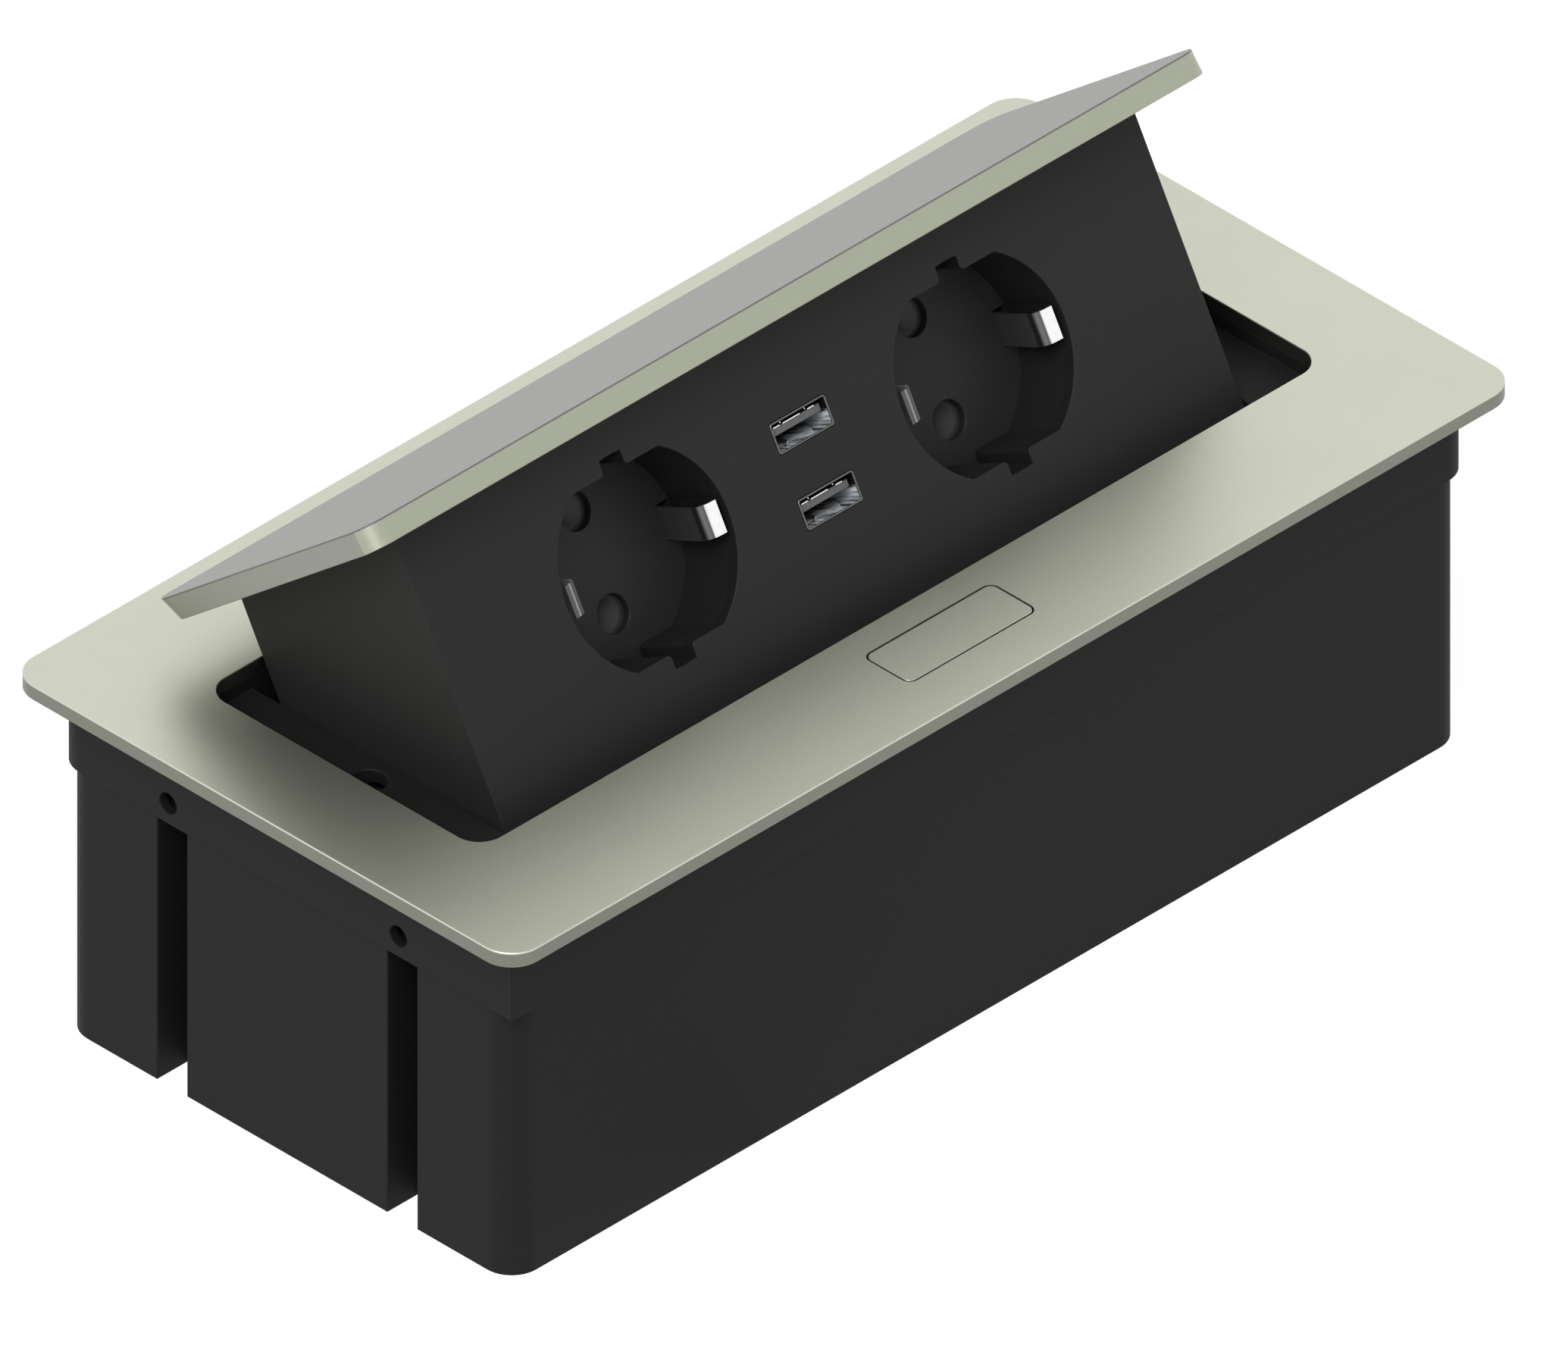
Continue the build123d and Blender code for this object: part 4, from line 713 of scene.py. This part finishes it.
def sleeve_paint(spot):
    """Matt at the rim; inside, painted shade above the tongue, and below it painted reflections streaked
    along the depth, with a painted highlight.
    """
    depth = face_level - spot.along(*out_of_face)
    inside = depth > 0.0003
    climb = port_climb(spot)
    across = spot.along(1, 0, 0)
    place = spot.node("ShaderNodeCombineXYZ", {}, {"X": across, "Y": climb, "Z": depth * 0.12})
    drawn = place.grain(1100, 2.0)
    # Painted reflections streaked along the depth of the port.
    painted_reflections = drawn.node("ShaderNodeValToRGB", {"stops": [
        (0.40, (0.03, 0.035, 0.04, 1)), (0.48, (0.34, 0.37, 0.39, 1)), (0.62, (0.72, 0.76, 0.80, 1)),
    ]}, {"Fac": drawn})
    # Painted highlight on the lower wall.
    sheen = (across > -0.0042) * (0.0022 - across > 0) * (depth > 0.0032) * (0.0075 - depth > 0)
    painted_reflections = (sheen * (-0.0022 - climb > 0)).mix(painted_reflections, (0.95, 0.97, 1.0, 1))
    # Painted shade on the wall above the tongue.
    wall = (climb > 0.0002).mix(painted_reflections, (0.008, 0.008, 0.009, 1))
    tone = inside.mix((0.15, 0.15, 0.147, 1), wall)
    return {"Base Color": tone, "Metallic": 1.0 - inside, "Roughness": inside * -0.1 + 0.38}


sleeve_steel = finish_of("sleeve_steel", sleeve_paint)
sleeve = broken_edges("port_shells", "port_sleeves", 0.00006, sleeve_steel)
stand_in(sleeve, "module", "port_steel", "port_shells")


def tongue_paint(spot):
    """Grey on the end that faces out of the port, and painted shade, nearly black, behind it."""
    pits = spot.grain(1500, 2.0)
    front = spot.along(*out_of_face) - (face_level - 0.00112) > 0
    end = pits.mix((0.095, 0.095, 0.10, 1), (0.125, 0.125, 0.13, 1))
    # Painted shade on the faces that lie inside the port.
    tone = front.mix((0.008, 0.008, 0.009, 1), end)
    return {"Base Color": tone, "Roughness": (pits - 0.5) * 0.1 + 0.5}


tongue_plastic = finish_of("tongue_plastic", tongue_paint)
tongue = broken_edges("port_tongues", "port_insulators", 0.0001, tongue_plastic)
stand_in(tongue, "module", "tongue_plastic", "port_tongues")

finger_tree, size = wired("spring_finger", [
    ("Root", "Vector"), ("Crest", "Vector"), ("Tip", "Vector"), ("Finger width", "Float"),
    ("Sheet", "Float"), ("Turn", "Vector"), ("Finish", "Material"),
])
spine = size["Root"].node(
    "GeometryNodeCurveQuadraticBezier", {},
    {"Resolution": 8, "Start": size["Root"], "Middle": size["Crest"], "End": size["Tip"]},
)
section = spine.node(
    "GeometryNodeCurvePrimitiveQuadrilateral", {}, {"Width": size["Sheet"], "Height": size["Finger width"]}
)
finger = spine.node(
    "GeometryNodeCurveToMesh", {}, {"Curve": spine, "Profile Curve": section, "Fill Caps": True}
)
finger = finger.node(
    "GeometryNodeInstanceOnPoints", {},
    {"Points": size["Geometry"], "Instance": finger, "Rotation": size["Turn"]},
)
close_tree(finger_tree, finger)

contact_tree, size = wired(
    "plated_bar", [("Bar size", "Vector"), ("Turn", "Vector"), ("Finish", "Material")]
)
bar = size["Bar size"].node("GeometryNodeMeshCube", {}, {"Size": size["Bar size"]})
bar = bar.node(
    "GeometryNodeInstanceOnPoints", {},
    {"Points": size["Geometry"], "Instance": bar, "Rotation": size["Turn"]},
)
close_tree(contact_tree, bar)

face_turn = tuple(Matrix((Vector((1, 0, 0)), up_slope, out_of_face)).transposed().to_euler())
port_rows = [socket_drop - port_step, socket_drop + port_step]
for name, wall, crest in (("lower", -2.35, 0.0012), ("upper", 2.35, -0.0008)):
    spots = [face_spot(x, row + wall, -2.0) for row in port_rows for x in (-2.9, 2.9)]
    fingers = grown(
        name + "_port_fingers", spots, finger_tree,
        **{
            "Root": (0, 0, -0.006), "Crest": (0, crest, -0.002), "Tip": (0, 0, 0.0),
            "Finger width": 0.0016, "Sheet": 0.0002, "Turn": face_turn, "Finish": chrome,
        },
    )
    stand_in(fingers, "module", "port_steel")

for name, width, places in (("outer", 1.5, (-4.5, 3.6)), ("middle", 4.0, (-1.0,))):
    spots = [face_spot(x, row + 1.62, -1.3) for row in port_rows for x in places]
    bars = grown(
        name + "_port_contacts", spots, contact_tree,
        **{"Bar size": (width / 1000, 0.00018, 0.0006), "Turn": face_turn, "Finish": chrome},
    )
    stand_in(bars, "module", "port_steel")


def board_paint(spot):
    """Green laminate, with grey parts standing on its back."""
    cloud = spot.grain(900, 3.0)
    raised = face_level - spot.along(*out_of_face) > 0.01465
    tone = raised.mix((0.02, 0.10, 0.045, 1), (0.10, 0.10, 0.11, 1)).times((cloud - 0.5) * 0.4 + 1.0)
    return {"Base Color": tone, "Roughness": (cloud - 0.5) * 0.2 + 0.4}


coat(finish_of("charger_laminate", board_paint), "charger_board")


# Floor, light and camera. A plain white floor under the housing, a broad soft key from
# the left, and a camera with no perspective at the photograph's angle.

def plainly_seen(tree):
    """1 for the rays that the camera follows straight on, and 0 for those that light things."""
    path = Wire(tree).node("ShaderNodeLightPath", {}, {}).socket.node
    seen = Wire(tree, path.outputs["Is Camera Ray"])
    for kind in ("Is Glossy Ray", "Is Transmission Ray"):
        seen = seen.sum("MAXIMUM", seen, Wire(tree, path.outputs[kind]))
    return seen


floor_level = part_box("tub")[0].z
bpy.ops.mesh.primitive_plane_add(size=6, location=(0, 0, floor_level))
floor = bpy.context.object
floor.name = "floor"
floor_white = bpy.data.materials.new("floor_white")
floor_white.use_nodes = True
tree = floor_white.node_tree
tree.nodes.remove(tree.nodes["Principled BSDF"])
seen = plainly_seen(tree)
matt = seen.node("ShaderNodeBsdfDiffuse", {}, {"Color": (0.86, 0.86, 0.86, 1)})
glow = seen.node("ShaderNodeEmission", {}, {"Color": (1, 1, 1, 1), "Strength": 1.1})
surface = seen.node("ShaderNodeMixShader", {}, {0: seen * 0.85, 1: matt, 2: glow})
tree.links.new(surface.socket, tree.nodes["Material Output"].inputs["Surface"])
floor.data.materials.append(floor_white)

world = bpy.data.worlds.new("studio")
world.use_nodes = True
bpy.context.scene.world = world
tree = world.node_tree
sky = tree.nodes["Background"]
sky.inputs["Color"].default_value = (1, 1, 1, 1)
tree.links.new((plainly_seen(tree) * 0.45 + 0.55).socket, sky.inputs["Strength"])

key_source = Vector((-0.62, -0.25, 0.74))
key = linked("key", bpy.data.lights.new("key", "SUN"))
key.data.energy = 1.7
key.data.angle = math.radians(35)
key.rotation_euler = key_source.to_track_quat("Z", "Y").to_euler()

flange_top = Vector((0, 0, 0.003))
right = Vector((1, -1, 0)).normalized()
above = Vector((1, 1, 2)).normalized()
towards = Vector((-1, -1, 1)).normalized()
camera = linked("camera", bpy.data.cameras.new("camera"))
camera.data.type = "ORTHO"
camera.data.ortho_scale = 0.26397
camera.data.clip_end = 20
camera.location = flange_top + right * 0.00342 - above * 0.02583 + towards * 1.5
camera.rotation_euler = towards.to_track_quat("Z", "Y").to_euler()
bpy.context.scene.camera = camera
bpy.context.scene.view_settings.view_transform = "Standard"
